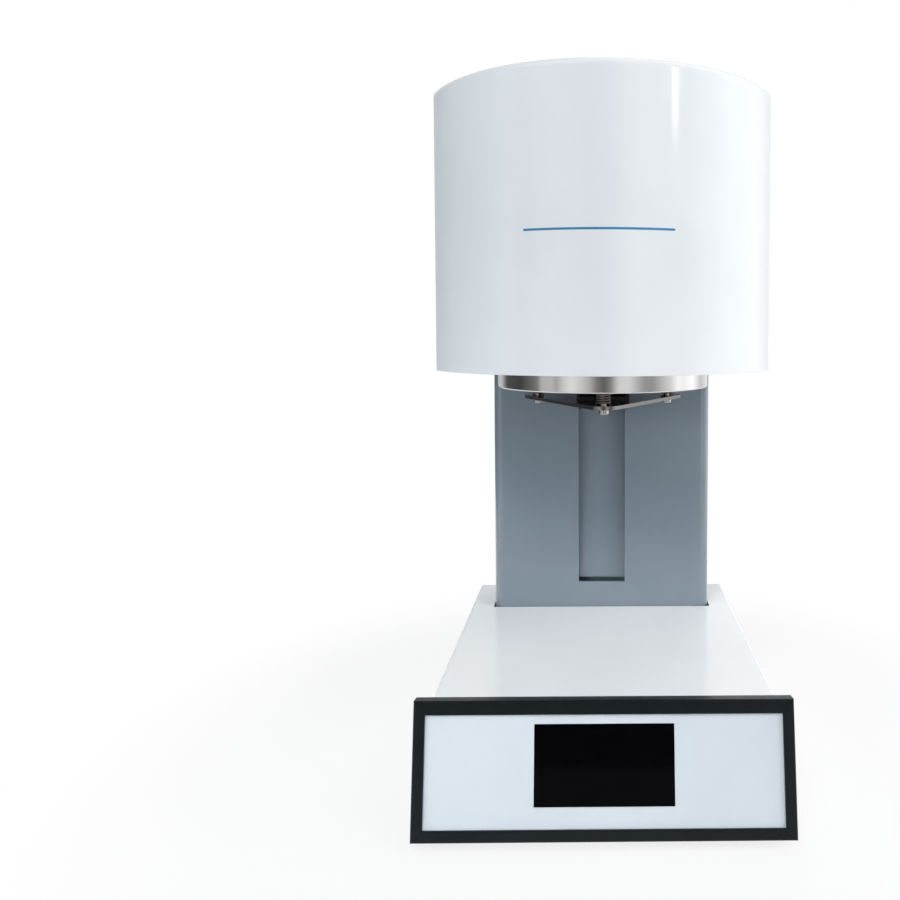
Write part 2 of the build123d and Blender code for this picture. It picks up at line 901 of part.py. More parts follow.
def contact_blades():
    ys = (outer_y - socket_depth - contact_root, outer_y - contact_setback)
    return [
        centred(inlet_x + x, plug_z + z, contact_width, contact_height, ys)
        for x, z in contact_places
    ]


def contact_pins():
    return group(contact_blades())


def fuse_drawer():
    tray = centred(inlet_x, drawer_z, drawer_width, drawer_height, (outer_y - drawer_depth, outer_y))
    face_width = drawer_width + 2 * drawer_face_side
    face_height = drawer_height + 2 * drawer_face
    face_y = outer_y + drawer_face
    face = centred(inlet_x, drawer_z, face_width, face_height, (outer_y, face_y))
    pull_z = drawer_z + drawer_height / 2
    pull = centred(inlet_x, pull_z, drawer_pull, drawer_face, (face_y, face_y + drawer_face))
    well_width = drawer_width - 2 * drawer_wall
    well_ys = (outer_y - drawer_depth + drawer_wall, outer_y - drawer_floor)
    well = centred(inlet_x, drawer_z + drawer_wall, well_width, drawer_height, well_ys)
    return tray + face + pull - well


def pump_socket():
    x, z = pump_socket_x, pump_socket_z
    body = panel_fitting(x, z, pump_socket_width, pump_socket_height, inlet_depth, inlet_flange)
    floor_y = outer_y - pump_socket_depth
    moat_width = pump_socket_width - 2 * pump_socket_wall
    moat_height = pump_socket_height - 2 * pump_socket_wall
    moat = centred(x, z, moat_width, moat_height, (floor_y, outer_y + past))
    core_width = moat_width - 2 * pump_socket_moat
    core_height = moat_height - 2 * pump_socket_moat
    core = centred(x, z, core_width, core_height, (floor_y, outer_y - pump_socket_step))
    for dx, dz in pump_contact_places:
        hole = centred(x + dx, z + dz, pump_contact_width, pump_contact_height, (floor_y, outer_y))
        core = core - hole
    return body - moat + core


def switch_housing():
    x, z = pump_socket_x, switch_z
    body = panel_fitting(x, z, switch_width, switch_height, switch_depth, switch_flange)
    room_width = rocker_width + 2 * rocker_room
    room_height = rocker_height + 2 * rocker_room_end
    room_ys = (rear_face_y - switch_depth + switch_floor, rear_face_y + switch_flange + past)
    body = body - centred(x, z, room_width, room_height, room_ys)
    half = switch_width / 2 - pivot_cover
    return body - along_x(pivot_y, z, (x - half, x + half), pivot_radius + running_gap)


def power_rocker():
    # The profile's first axis runs up the switch and its second out of it, from the pivot.
    half = rocker_height / 2
    outline = Polyline(
        (-half, rocker_face),
        (0, rocker_face - rocker_dip),
        (half, rocker_face),
        (half - rocker_toe, 0),
        (pivot_radius + rocker_heel, -rocker_face),
        (-pivot_radius - rocker_heel, -rocker_face),
        (rocker_toe - half, 0),
        close=True,
    )
    bar = extrude(make_face(outline), rocker_width / 2, both=True)
    bar = Plane(origin=(0, 0, 0), x_dir=(0, 0, 1), z_dir=(1, 0, 0)).location * bar
    pin_half = switch_width / 2 - pivot_cover - pivot_end_gap
    pivot = along_x(0, 0, (-pin_half, pin_half), pivot_radius)
    return Pos(pump_socket_x, pivot_y, switch_z) * Rot(-rocker_tilt, 0, 0) * (bar + pivot)


def fan_frame():
    half = fan_size / 2
    frame = centred(fan_x, fan_z, fan_size, fan_size, (fan_front_y, rear_inner_y))
    frame = fillet(frame.edges().filter_by(Axis.Y), fan_corner)
    frame = frame - along_y(fan_x, fan_z, (fan_front_y - past, rear_inner_y + past), fan_duct_radius)
    strut_ys = (fan_front_y, fan_front_y + fan_strut)
    frame = frame + along_y(fan_x, fan_z, strut_ys, fan_hub_radius)
    arm = block((fan_hub_radius - past, fan_duct_radius + past), strut_ys, (-fan_strut / 2, fan_strut / 2))
    for angle in (45, 135, 225, 315):
        frame = frame + Pos(fan_x, 0, fan_z) * Rot(0, angle, 0) * arm
    bore_ys = (fan_front_y - past, fan_front_y + fan_strut + past)
    frame = frame - along_y(fan_x, fan_z, bore_ys, fan_shaft_radius + running_gap)
    return small_drill(frame, guard_seats)


def fan_rotor():
    hub_ys = (fan_front_y + fan_strut + fit_gap, rear_inner_y - fan_rim)
    rotor = along_y(0, 0, hub_ys, fan_hub_radius)
    shaft_ys = (fan_front_y + fit_gap, hub_ys[0])
    rotor = rotor + along_y(0, 0, shaft_ys, fan_shaft_radius)
    middle_y = (hub_ys[0] + hub_ys[1]) / 2
    blade_xs = (fan_hub_radius - fan_blade_root, fan_duct_radius - fan_tip_gap)
    half_chord = fan_blade_chord / 2
    blade = block(blade_xs, (-half_chord, half_chord), (-fan_blade_sheet / 2, fan_blade_sheet / 2))
    blade = Pos(0, middle_y, 0) * Rot(fan_blade_pitch, 0, 0) * blade
    for index in range(fan_blades):
        rotor = rotor + Rot(0, 360 * index / fan_blades, 0) * blade
    return Pos(fan_x, 0, fan_z) * rotor


def fan_guard():
    y = rear_face_y + guard_wire
    ring_plane = Plane(origin=(fan_x, y, fan_z), z_dir=(0, 1, 0)).location
    outer_radius = fan_duct_radius - guard_ring_gap
    guard = ring_plane * Torus(outer_radius, guard_wire)
    for index in range(1, guard_rings):
        guard = guard + ring_plane * Torus(outer_radius * index / guard_rings, guard_wire)
    eye = tube(0, 0, (-guard_wire, guard_wire), small_head, small_shank + drill_gap)
    for x in (-guard_corner, guard_corner):
        for z in (-guard_corner, guard_corner):
            guard = guard + Pos(fan_x + x, y, fan_z + z) * Rot(90, 0, 0) * eye
    reach = hypot(guard_corner, guard_corner) - small_head + guard_wire
    for angle in (45, 135):
        spoke = along_x(0, 0, (-reach, reach), guard_wire)
        guard = guard + Pos(fan_x, y, fan_z) * Rot(0, angle, 0) * spoke
    return guard


def vacuum_port():
    # Flanged nipple with a plain stem for the hose.
    tip_y = back_y + port_reach
    flange = along_y(port_x, port_z, (rear_face_y, rear_face_y + port_flange), port_flange_radius)
    stem = along_y(port_x, port_z, (port_tail_y, tip_y), port_radius)
    stem = chamfer(stem.edges().sort_by(Axis.Y)[-1], port_chamfer)
    nut = along_y(port_x, port_z, (rear_inner_y - port_nut, rear_inner_y), port_nut_radius)
    bore = along_y(port_x, port_z, (port_tail_y - past, tip_y + past), pipe_bore)
    return flange + stem + nut - bore


def pipe_run(points, bends):
    path = FilletPolyline(*points, radius=bends)
    start = Plane(origin=path @ 0, z_dir=path % 0)
    section = start * (Circle(pipe_radius) - Circle(pipe_bore))
    return sweep(section, path=path)


def vacuum_pipe():
    lower = pipe_run(
        [(port_x, port_tail_y, port_z), (port_x, pipe_y, port_z), (port_x, pipe_y, valve_bottom)],
        pipe_bend,
    )
    upper = pipe_run(
        [
            (port_x, pipe_y, valve_top),
            (port_x, pipe_y, pipe_top),
            (chamber_pipe_x, chamber_pipe_y, pipe_top),
            (chamber_pipe_x, chamber_pipe_y, lid_z + lid_sheet),
        ],
        pipe_bend,
    )
    return group([lower, upper])


def vent_valve():
    half = valve_size / 2
    body = block((port_x - half, port_x + half), (pipe_y - half, pipe_y + half), (valve_bottom, valve_top))
    body = fillet(body.edges().filter_by(Axis.Z), valve_corner)
    bore = post(port_x, pipe_y, (valve_bottom - past, valve_top + past), pipe_bore)
    coil_ys = (pipe_y - half - valve_coil_length, pipe_y - half)
    coil = along_y(port_x, (valve_bottom + valve_top) / 2, coil_ys, valve_coil_radius)
    return body - bore + coil


# ---- column ----
def column_front():
    half = column_width / 2
    outer = wide(half, (column_y, column_lip_y), (pan_top, column_top))
    outer = fillet(outer.edges().filter_by(Axis.Z).sort_by(Axis.Y)[:2], column_corner)
    inner_half = half - column_sheet
    room = wide(inner_half, (column_y + column_sheet, column_lip_y - column_sheet), (0, column_top + past))
    room = fillet(room.edges().filter_by(Axis.Z).sort_by(Axis.Y)[:2], column_corner - column_sheet)
    mouth = wide(inner_half - column_lip, (screw_y, column_lip_y + past), (0, column_top + past))
    legs = wide(inner_half, (screw_y, column_lip_y + past), (0, base_top - column_leg_drop))
    column = outer - room - mouth - legs
    foot_xs = (inner_half - column_foot, inner_half)
    foot_ys = (screw_y - column_foot_front, screw_y + column_foot_back)
    foot = block(foot_xs, foot_ys, (pan_top, pan_top + column_sheet))
    column = column + both_sides(foot)
    slot = wide(slot_half, (column_y - past, column_y + column_sheet + past), (slot_bottom, slot_top))
    window_half = half - column_window_side
    window_zs = (pan_top + column_window_low, base_top - column_window_high)
    window = wide(window_half, (column_y - past, column_y + column_sheet + past), window_zs)
    column = column - slot - window
    column = small_drill(column, column_back_seats)
    return frame_drill(column, angle_seats + column_foot_seats)


def column_back():
    half = column_width / 2 - column_back_gap
    plate = wide(half, (column_lip_y, column_back_y), (base_top + column_back_lift, column_top))
    plate = small_drill(plate, column_back_seats)
    return frame_drill(plate, frame_seats)


def slot_plate():
    low = slot_bottom + slot_end_gap
    front = slot_plate_y
    back = front + slot_sheet
    heel_y = carriage_front_y - fit_gap
    strip = wide(plate_half, (front, back), (low, upper_shelf_z))
    ledge = wide(plate_half, (front, heel_y), (low, low + slot_sheet))
    seat_z = lower_shelf_z + shelf_sheet
    leg = wide(plate_half, (heel_y - slot_sheet, heel_y), (seat_z, low + slot_sheet))
    tongue = wide(plate_half, (front, heel_y), (seat_z, seat_z + slot_sheet))
    head = wide(plate_half, (front, heel_y), (upper_shelf_z - slot_sheet, upper_shelf_z))
    return strip + ledge + leg + tongue + head


def lift_frame():
    front = column_y + shelf_front
    plate_zs = (lower_shelf_z, upper_shelf_z + shelf_sheet)
    plate = wide(frame_half_width, (frame_plate_y, column_lip_y), plate_zs)
    neck_half = motor_size / 2 + neck_margin
    neck = wide(neck_half, (frame_plate_y, column_lip_y), (motor_shelf_z, lower_shelf_z))
    frame = plate + neck
    for z in (lower_shelf_z, upper_shelf_z):
        frame = frame + wide(frame_half_width, (front, frame_plate_y), (z, z + shelf_sheet))
        for x in (-rod_x, rod_x):
            frame = frame - post(x, screw_y, (z - past, z + shelf_sheet + past), rod_radius + seat_gap)
        frame = frame - post(0, screw_y, (z - past, z + shelf_sheet + past), nut_radius + seat_gap)
    motor_top_z = motor_shelf_z + motor_shelf_sheet
    shelf_ys = (screw_y - motor_size / 2, frame_plate_y)
    frame = frame + wide(neck_half, shelf_ys, (motor_shelf_z, motor_top_z))
    shelf_hole = post(0, screw_y, (motor_shelf_z - past, motor_top_z + past), coupling_radius + coupling_gap)
    frame = frame - shelf_hole
    return frame_drill(frame, frame_seats + motor_seats)


def guide_rods():
    rods = []
    for x in (-rod_x, rod_x):
        rod = post(x, screw_y, (lower_shelf_z, upper_shelf_z + shelf_sheet), rod_radius)
        rods.append(chamfer(rod.edges().filter_by(GeomType.CIRCLE), rod_chamfer))
    return group(rods)


def screw_bearings():
    bearings = []
    for z in (lower_shelf_z, upper_shelf_z):
        zs = (z, z + shelf_sheet)
        bearings.append(tube(0, screw_y, zs, nut_radius, journal_radius + running_gap))
    return group(bearings)


def lift_motor():
    half = motor_size / 2
    body = block((-half, half), (screw_y - half, screw_y + half), (motor_bottom, motor_shelf_z))
    body = chamfer(body.edges().filter_by(Axis.Z), motor_chamfer)
    body = body - post(0, screw_y, (motor_bottom + motor_end, motor_shelf_z - motor_end), motor_bore)
    shaft_zs = (motor_bottom + motor_end / 2, motor_shelf_z + past)
    body = body - post(0, screw_y, shaft_zs, shaft_radius + running_gap)
    return frame_drill(body, motor_seats)


def motor_rotor():
    core_zs = (motor_bottom + rotor_end_gap, motor_shelf_z - rotor_end_gap)
    core = post(0, screw_y, core_zs, motor_bore - rotor_gap)
    shaft_zs = (motor_bottom + motor_end / 2 + coupling_gap, coupling_middle - fit_gap)
    return core + post(0, screw_y, shaft_zs, shaft_radius)


def shaft_coupling():
    body = post(0, screw_y, (coupling_z, coupling_top), coupling_radius)
    body = body - post(0, screw_y, (coupling_z - past, coupling_middle), shaft_radius + seat_gap)
    body = body - post(0, screw_y, (coupling_middle, coupling_top + past), journal_radius + seat_gap)
    groove_zs = (coupling_middle - fit_gap, coupling_middle + fit_gap)
    return body - tube(0, screw_y, groove_zs, coupling_radius + past, coupling_radius - coupling_groove)


def lead_screw():
    journal = post(0, screw_y, (coupling_middle + fit_gap, upper_shelf_z + shelf_sheet), journal_radius)
    thread_zs = (lower_shelf_z + shelf_sheet + fit_gap, upper_shelf_z - fit_gap)
    return journal + post(0, screw_y, thread_zs, screw_radius)


# ---- lift ----
def lift_carriage():
    half = rod_x + carriage_margin
    zs = (carriage_z, carriage_top)
    body = wide(half, (carriage_front_y, carriage_front_y + carriage_depth), zs)
    body = chamfer(body.edges().filter_by(Axis.Z), carriage_chamfer)
    through = (carriage_z - past, carriage_top + past)
    bearing_zs = (carriage_z - past, carriage_z + bearing_length)
    for x in (-rod_x, rod_x):
        body = body - post(x, screw_y, through, rod_radius + carriage_bore_gap)
        body = body - post(x, screw_y, bearing_zs, bearing_radius + seat_gap)
    body = body - post(0, screw_y, through, nut_radius + seat_gap)
    return frame_drill(body, arm_tab_seats)


def linear_bearings():
    zs = (carriage_z, carriage_z + bearing_length)
    bore = rod_radius + running_gap
    return group([tube(x, screw_y, zs, bearing_radius, bore) for x in (-rod_x, rod_x)])


def lead_nut():
    zs = (carriage_z + nut_foot, carriage_top + nut_flange)
    nut = post(0, screw_y, zs, nut_radius)
    nut = nut + post(0, screw_y, (carriage_top, carriage_top + nut_flange), nut_flange_radius)
    return nut - post(0, screw_y, (zs[0] - past, zs[1] + past), screw_radius + running_gap)


def lift_arm():
    # A channel whose two walls reach through the slot, and jog outwards behind its edges to pass the strip.
    jog_back = arm_jog_y + arm_sheet
    deep_y = axis_y + arm_deep_start
    web_ys = (axis_y - arm_front, jog_back)
    web = wide(arm_half, web_ys, (spider_top, spider_top + arm_sheet))
    wall_xs = (arm_half - arm_sheet, arm_half)
    upper = block(wall_xs, web_ys, (spider_top, arm_top))
    lower = block(wall_xs, (deep_y, jog_back), (arm_bottom, spider_top))
    jog = block((arm_half - arm_sheet, arm_tail_half), (arm_jog_y, jog_back), (arm_bottom, arm_top))
    tail_xs = (arm_tail_half - arm_sheet, arm_tail_half)
    tail = block(tail_xs, (arm_jog_y, carriage_front_y), (arm_bottom, arm_top))
    tab_xs = (tail_xs[0], arm_tail_half + arm_tab)
    tab_ys = (carriage_front_y - arm_sheet, carriage_front_y)
    tab = block(tab_xs, tab_ys, (carriage_z, arm_top))
    arm = web + both_sides(upper + lower + jog + tail + tab)
    return small_drill(frame_drill(arm, arm_tab_seats), spider_seats)


def spider_plate():
    rings = [Pos(x, y) * Circle(spider_tip) for x, y in bolt_points]
    outline = make_hull([edge for ring in rings for edge in ring.edges()])
    plate = Pos(0, 0, spider_z) * extrude(outline, spider_plate_sheet)
    for x, y in bolt_points:
        plate = plate - post(x, y, (spider_z - past, spider_top + past), bolt_radius + bolt_gap)
    return small_drill(plate, spider_seats)


def suspension_springs():
    springs = []
    mean = spring_radius - spring_wire
    low = spider_top + spring_wire
    rise = spring_length - 2 * spring_wire
    for x, y in bolt_points:
        path = Helix(pitch=rise / spring_turns, height=rise, radius=mean, center=(x, y, low))
        section = Plane(origin=path @ 0, z_dir=path % 0) * Circle(spring_wire)
        springs.append(sweep(section, path=path, is_frenet=True))
    return group(springs)


# ---- door ----
def lift_plate():
    disc = post(0, axis_y, (door_bottom, door_top), door_radius)
    disc = chamfer(disc.edges().filter_by(GeomType.CIRCLE), door_chamfer)
    disc = disc - post(0, axis_y, (door_bottom + door_floor, door_top + past), door_radius - door_rim)
    groove_low = door_top - 2 * seal_wire + seal_gap
    groove_half = seal_wire + fit_gap
    groove_zs = (groove_low, door_top + past)
    disc = disc - tube(0, axis_y, groove_zs, seal_radius + groove_half, seal_radius - groove_half)
    for x, y in bolt_points:
        disc = disc + post(x, y, (door_bottom, bolt_pad_top), bolt_pad_radius)
        disc = disc - post(x, y, (door_bottom - past, bolt_pad_top), bolt_radius + seat_gap)
    return disc


def suspension_bolts():
    bolts = []
    for x, y in bolt_points:
        shank = post(x, y, (spider_z, bolt_pad_top - bolt_bottom_gap), bolt_radius)
        head = post(x, y, (spider_z - bolt_head_height, spider_z), bolt_head_radius)
        head = chamfer(head.edges().sort_by(Axis.Z)[0], bolt_head_chamfer)
        socket = extrude(RegularPolygon(bolt_socket, 6), bolt_socket_depth)
        bolts.append(shank + head - Pos(x, y, spider_z - bolt_head_height) * socket)
    return group(bolts)


def door_seal():
    height = flange_z - seal_gap - seal_wire
    return Pos(0, axis_y, height) * Torus(seal_radius, seal_wire)


def door_insulation():
    pad = post(0, axis_y, (door_bottom + door_floor, door_top), door_radius - door_rim - fit_gap)
    plug = post(0, axis_y, (door_top, plug_top), plug_radius)
    plug = chamfer(plug.edges().sort_by(Axis.Z)[-1], plug_chamfer)
    body = pad + plug
    room_zs = (door_bottom, bolt_pad_top + door_pad_room)
    for x, y in bolt_points:
        body = body - post(x, y, room_zs, bolt_pad_radius + door_pad_room)
    return body


def firing_table():
    disc = post(0, axis_y, (plug_top, plug_top + table_height), table_radius)
    disc = chamfer(disc.edges().filter_by(GeomType.CIRCLE), table_chamfer)
    middle = table_rows // 2
    pitch = table_radius / (middle + 1)
    hole_zs = (plug_top + table_hole_floor, plug_top + table_height + past)
    for ix in range(-middle, middle + 1):
        for iy in range(-middle, middle + 1):
            if hypot(ix, iy) <= middle:
                disc = disc - post(ix * pitch, axis_y + iy * pitch, hole_zs, table_hole)
    return disc


# ---- head ----
def head_block(inset, zs, rear_y):
    # D-shaped plan: an arc in front, straight sides and a flat back, with rounded top edges.
    half = head_width / 2 - inset
    radius = head_radius - inset
    shoulder_y = head_arc_y - sqrt(radius**2 - half**2)
    front = ThreePointArc((-half, shoulder_y), (0, head_arc_y - radius), (half, shoulder_y))
    rest = Polyline((half, shoulder_y), (half, rear_y), (-half, rear_y), (-half, shoulder_y))
    outline = make_face([front, *rest.edges()])
    solid = Pos(0, 0, zs[0]) * extrude(outline, zs[1] - zs[0])
    return fillet(solid.edges().filter_by(Axis.Z).sort_by(Axis.Y)[:2], head_side_round - inset)


def rounded_top(solid, radius):
    rim = solid.faces().sort_by(Axis.Z)[-1].edges().sort_by(Axis.Y)[:-1]
    return fillet(rim, radius)


def head_cover():
    room_top = head_top - head_sheet
    outer = rounded_top(head_block(0, (head_bottom, head_top), back_y), head_top_round)
    room = head_block(head_sheet, (head_bottom - past, room_top), back_y + past)
    room = rounded_top(room, head_top_round - head_sheet)
    half = head_width / 2 - head_sheet
    lips = wide(half, (rear_inner_y - lip_sheet, rear_inner_y), (flange_z + lip_gap, room_top))
    lips = lips - wide(half - lip_width, (0, back_y), (0, room_top - lip_width))
    cover = outer - room + lips
    for y in tab_ys:
        tab = block(
            (tab_x - tab_size / 2, tab_x + tab_size / 2 + head_sheet / 2),
            (y - tab_size / 2, y + tab_size / 2),
            (flange_z, flange_z + tab_sheet),
        )
        cover = cover + both_sides(tab)
    return small_drill(cover, tab_seats + head_back_seats)


def head_back():
    half = head_width / 2 - head_sheet - fit_gap
    high = head_top - head_sheet - fit_gap
    plate = wide(half, (rear_inner_y, rear_face_y), (head_plate_z, high))
    plate = fillet(plate.edges().filter_by(Axis.Y).sort_by(Axis.Z)[-2:], head_top_round - head_sheet)
    through = (rear_inner_y - past, rear_face_y + past)
    half_vent = head_vent_length / 2
    for column in range(head_vent_columns):
        x = head_vent_step * (column - (head_vent_columns - 1) / 2)
        for row in range(head_vent_rows):
            z = head_top - head_vent_drop - head_vent_pitch * row
            plate = plate - block((x - half_vent, x + half_vent), through, (z, z + vent_width))
    return small_drill(plate, head_back_seats)


def head_base_plate():
    rear = rear_inner_y - lip_sheet - fit_gap
    plate = head_block(head_sheet + fit_gap, (head_plate_z, flange_z), rear)
    plate = plate - post(0, axis_y, (head_plate_z - past, flange_z + past), door_hole_radius)
    notch_ys = (column_y - column_gap, rear + past)
    plate = plate - wide(column_width / 2 + column_gap, notch_ys, (head_plate_z - past, flange_z + past))
    plate = small_drill(plate, tab_seats)
    plate = drill(plate, flange_seats, small_shank, flange_height + shell_foot + head_plate)
    return frame_drill(plate, angle_seats)


def head_brackets():
    half = column_width / 2
    ys = (angle_y - angle_depth / 2, angle_y + angle_depth / 2)
    upright = block((half, half + angle_sheet), ys, (flange_z, flange_z + angle_height))
    flat = block((half, half + angle_width), ys, (flange_z, flange_z + angle_sheet))
    web = Polyline(
        (half + angle_sheet, flange_z + angle_sheet),
        (half + angle_width - gusset_inset, flange_z + angle_sheet),
        (half + angle_sheet, flange_z + angle_height - gusset_drop),
        close=True,
    )
    gusset = extrude(Plane.XZ * make_face(web), angle_sheet / 2, both=True)
    bracket = upright + flat + Pos(0, angle_y, 0) * gusset
    bracket = frame_drill(bracket, angle_seats)
    return group(both_sides(bracket))


def chamber_flange():
    ring = tube(0, axis_y, (flange_z, chamber_z), flange_radius, step_radius)
    step = tube(0, axis_y, (flange_z, flange_z + flange_step), step_radius + past, step_radius - step_width)
    ring = ring + step
    return drill(ring, flange_seats, small_shank, flange_height + shell_foot + head_plate)


def chamber_shell():
    wall_inner = shell_radius - shell_sheet
    shell = post(0, axis_y, (chamber_z, lid_z + lid_sheet), shell_radius)
    shell = fillet(shell.edges().filter_by(GeomType.CIRCLE).sort_by(Axis.Z)[-1], shell_round)
    shell = shell - post(0, axis_y, (chamber_z - past, lid_z), wall_inner)
    foot = tube(0, axis_y, (chamber_z, chamber_z + shell_foot), flange_radius, wall_inner)
    shell = shell + foot
    through = (lid_z - past, lid_z + lid_sheet + past)
    shell = shell - post(0, axis_y, through, probe_radius + fit_gap)
    shell = shell - post(chamber_pipe_x, chamber_pipe_y, through, pipe_bore)
    for x in (-lead_x, lead_x):
        shell = shell - post(x, axis_y, through, lead_radius + lead_hole_gap)
    return small_drill(shell, flange_seats)


def insulation_ring():
    ring = tube(0, axis_y, (chamber_z, muffle_top), insulation_radius, insulation_bore)
    seat_zs = (flange_z + flange_step, chamber_z)
    ring = ring + tube(0, axis_y, seat_zs, step_radius - fit_gap, muffle_radius)
    for x in (-lead_x, lead_x):
        ring = ring - post(x, axis_y, (chamber_z, muffle_top + past), lead_radius + channel_gap)
    return ring


def insulation_top():
    disc = post(0, axis_y, (muffle_top, lid_z), insulation_radius)
    disc = disc - post(0, axis_y, (muffle_top - past, lid_z + past), probe_radius + fit_gap)
    disc = disc - post(chamber_pipe_x, chamber_pipe_y, (muffle_top - past, lid_z + past), pipe_bore)
    for x in (-lead_x, lead_x):
        disc = disc - post(x, axis_y, (muffle_top - past, lid_z + past), lead_radius + channel_gap)
    return disc


def heating_muffle():
    return tube(0, axis_y, (chamber_z, muffle_top), muffle_outer, muffle_radius)


def heater_coil():
    low = chamber_z + coil_bottom_gap
    rise = muffle_height - coil_bottom_gap - coil_top_gap
    path = Helix(pitch=rise / coil_turns, height=rise, radius=coil_radius, center=(0, axis_y, low))
    section = Plane(origin=path @ 0, z_dir=path % 0) * Circle(coil_wire)
    coil = sweep(section, path=path, is_frenet=True)
    lead_top = lid_z + lid_sheet + terminal_height + lead_rise
    wire = lead_radius - seat_gap
    for side, z in ((1, low), (-1, low + rise)):
        stub = along_x(axis_y, z, sorted((side * coil_radius, side * lead_x)), wire)
        lead = post(side * lead_x, axis_y, (z - wire, lead_top), wire)
        coil = coil + stub + lead
    return coil


def heater_terminals():
    low = lid_z + lid_sheet
    terminals = []
    for x in (-lead_x, lead_x):
        body = tube(x, axis_y, (low, low + terminal_height), terminal_radius, lead_radius)
        body = fillet(body.edges().filter_by(GeomType.CIRCLE).sort_by(Axis.Z)[-1], terminal_round)
        terminals.append(body)
    return group(terminals)


def thermocouple():
    low = lid_z + lid_sheet
    sheath = post(0, axis_y, (muffle_top - probe_reach, low), probe_radius)
    head = post(0, axis_y, (low, low + probe_head), 3 * probe_radius)
    head = fillet(head.edges().filter_by(GeomType.CIRCLE).sort_by(Axis.Z)[-1], probe_head_round)
    return sheath + head


# ---- fasteners ----
def case_screws():
    short = cover_seats + rear_panel_seats + head_back_seats + column_back_seats
    short = short + bezel_seats + tab_seats + guard_seats
    shapes = screws(short, small_shank, small_length, small_head, small_head_height)
    long = flange_height + shell_foot + head_plate
    shapes = shapes + screws(flange_seats, small_shank, long, small_head, small_head_height)
    return group(shapes)


def frame_screws():
    places = foot_seats + angle_seats + frame_seats + motor_seats + column_foot_seats
    return group(screws(places, frame_shank, frame_length, frame_head, frame_head_height))


def arm_screws():
    shapes = screws(arm_tab_seats, frame_shank, frame_length, frame_head, frame_head_height)
    length = spider_plate_sheet + arm_sheet
    shapes = shapes + screws(spider_seats, small_shank, length, small_head, small_head_height)
    return group(shapes)


nodes = [
    base_pan, rubber_feet, base_cover, rear_panel, bezel_frame, front_panel, screen_glass,
    display_module, front_bracket, control_board, power_supply, solid_state_relay,
    power_inlet, contact_pins, fuse_drawer, pump_socket, switch_housing, power_rocker,
    fan_frame, fan_rotor, fan_guard, vacuum_port, vacuum_pipe, vent_valve,
    column_front, column_back, slot_plate, lift_frame, guide_rods, screw_bearings,
    lift_motor, motor_rotor, shaft_coupling, lead_screw,
    lift_carriage, linear_bearings, lead_nut, lift_arm, spider_plate, suspension_springs,
    lift_plate, suspension_bolts, door_seal, door_insulation, firing_table,
    head_cover, head_back, head_base_plate, head_brackets, chamber_flange, chamber_shell,
    insulation_ring, insulation_top, heating_muffle, heater_coil, heater_terminals,
    thermocouple, case_screws, frame_screws, arm_screws,
]

os.makedirs("parts", exist_ok=True)
for node in nodes:
    export_step(node(), f"parts/{node.__name__}.step")
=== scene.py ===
import json
import math

import bmesh
import bpy
from mathutils import Matrix, Vector


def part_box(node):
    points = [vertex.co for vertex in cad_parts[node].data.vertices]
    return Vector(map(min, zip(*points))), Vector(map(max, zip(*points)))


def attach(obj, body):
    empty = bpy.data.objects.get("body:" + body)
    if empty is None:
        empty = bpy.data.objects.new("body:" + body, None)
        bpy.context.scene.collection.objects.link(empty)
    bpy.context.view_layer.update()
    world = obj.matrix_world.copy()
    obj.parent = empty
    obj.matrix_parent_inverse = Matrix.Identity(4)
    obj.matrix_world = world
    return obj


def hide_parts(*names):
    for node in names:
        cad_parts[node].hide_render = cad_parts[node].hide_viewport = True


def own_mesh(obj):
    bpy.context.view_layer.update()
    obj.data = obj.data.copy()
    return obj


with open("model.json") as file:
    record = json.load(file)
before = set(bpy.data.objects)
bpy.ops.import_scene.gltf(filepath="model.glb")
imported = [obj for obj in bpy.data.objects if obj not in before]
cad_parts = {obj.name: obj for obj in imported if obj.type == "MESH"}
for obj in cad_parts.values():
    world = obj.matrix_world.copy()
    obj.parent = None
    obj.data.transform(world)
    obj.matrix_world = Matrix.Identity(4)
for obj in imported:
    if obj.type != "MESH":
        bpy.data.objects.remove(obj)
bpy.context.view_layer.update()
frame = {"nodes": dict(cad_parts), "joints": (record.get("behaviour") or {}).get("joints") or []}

# Bench-top vacuum furnace. Metres, +Z up, the panel faces -Y.
mm = 0.001
weld = 0.001 * mm  # points closer together than this are one point
cadNodes = frame["nodes"]
print("frame loaded:", len(cadNodes), "nodes")


# node helpers for the finishes

def startFinish(name):
    finish = bpy.data.materials.new(name)
    finish.use_nodes = True
    return finish, finish.node_tree, finish.node_tree.nodes["Principled BSDF"]


def addNode(tree, kind, inputs=None, **settings):
    node = tree.nodes.new(kind)
    for key, value in settings.items():
        setattr(node, key, value)
    for key, value in (inputs or {}).items():
        node.inputs[key].default_value = value
    return node


def surfacePoints(tree, stretch=(1, 1, 1)):
    # object coordinates, stretched where the grain runs one way
    coords = addNode(tree, "ShaderNodeTexCoord")
    mapping = addNode(tree, "ShaderNodeMapping", {"Scale": stretch})
    tree.links.new(coords.outputs["Object"], mapping.inputs["Vector"])
    return mapping.outputs["Vector"]


def addNoise(tree, points, size, detail=2.0):
    # size is the width of one blotch in metres
    noise = addNode(tree, "ShaderNodeTexNoise", {"Scale": 1 / size, "Detail": detail})
    tree.links.new(points, noise.inputs["Vector"])
    return noise.outputs["Fac"]


def spread(tree, value, low, high, start=0.3, end=0.7):
    # maps start..end of a texture to low..high
    limits = {"From Min": start, "From Max": end, "To Min": low, "To Max": high}
    node = addNode(tree, "ShaderNodeMapRange", limits)
    tree.links.new(value, node.inputs["Value"])
    return node.outputs["Result"]


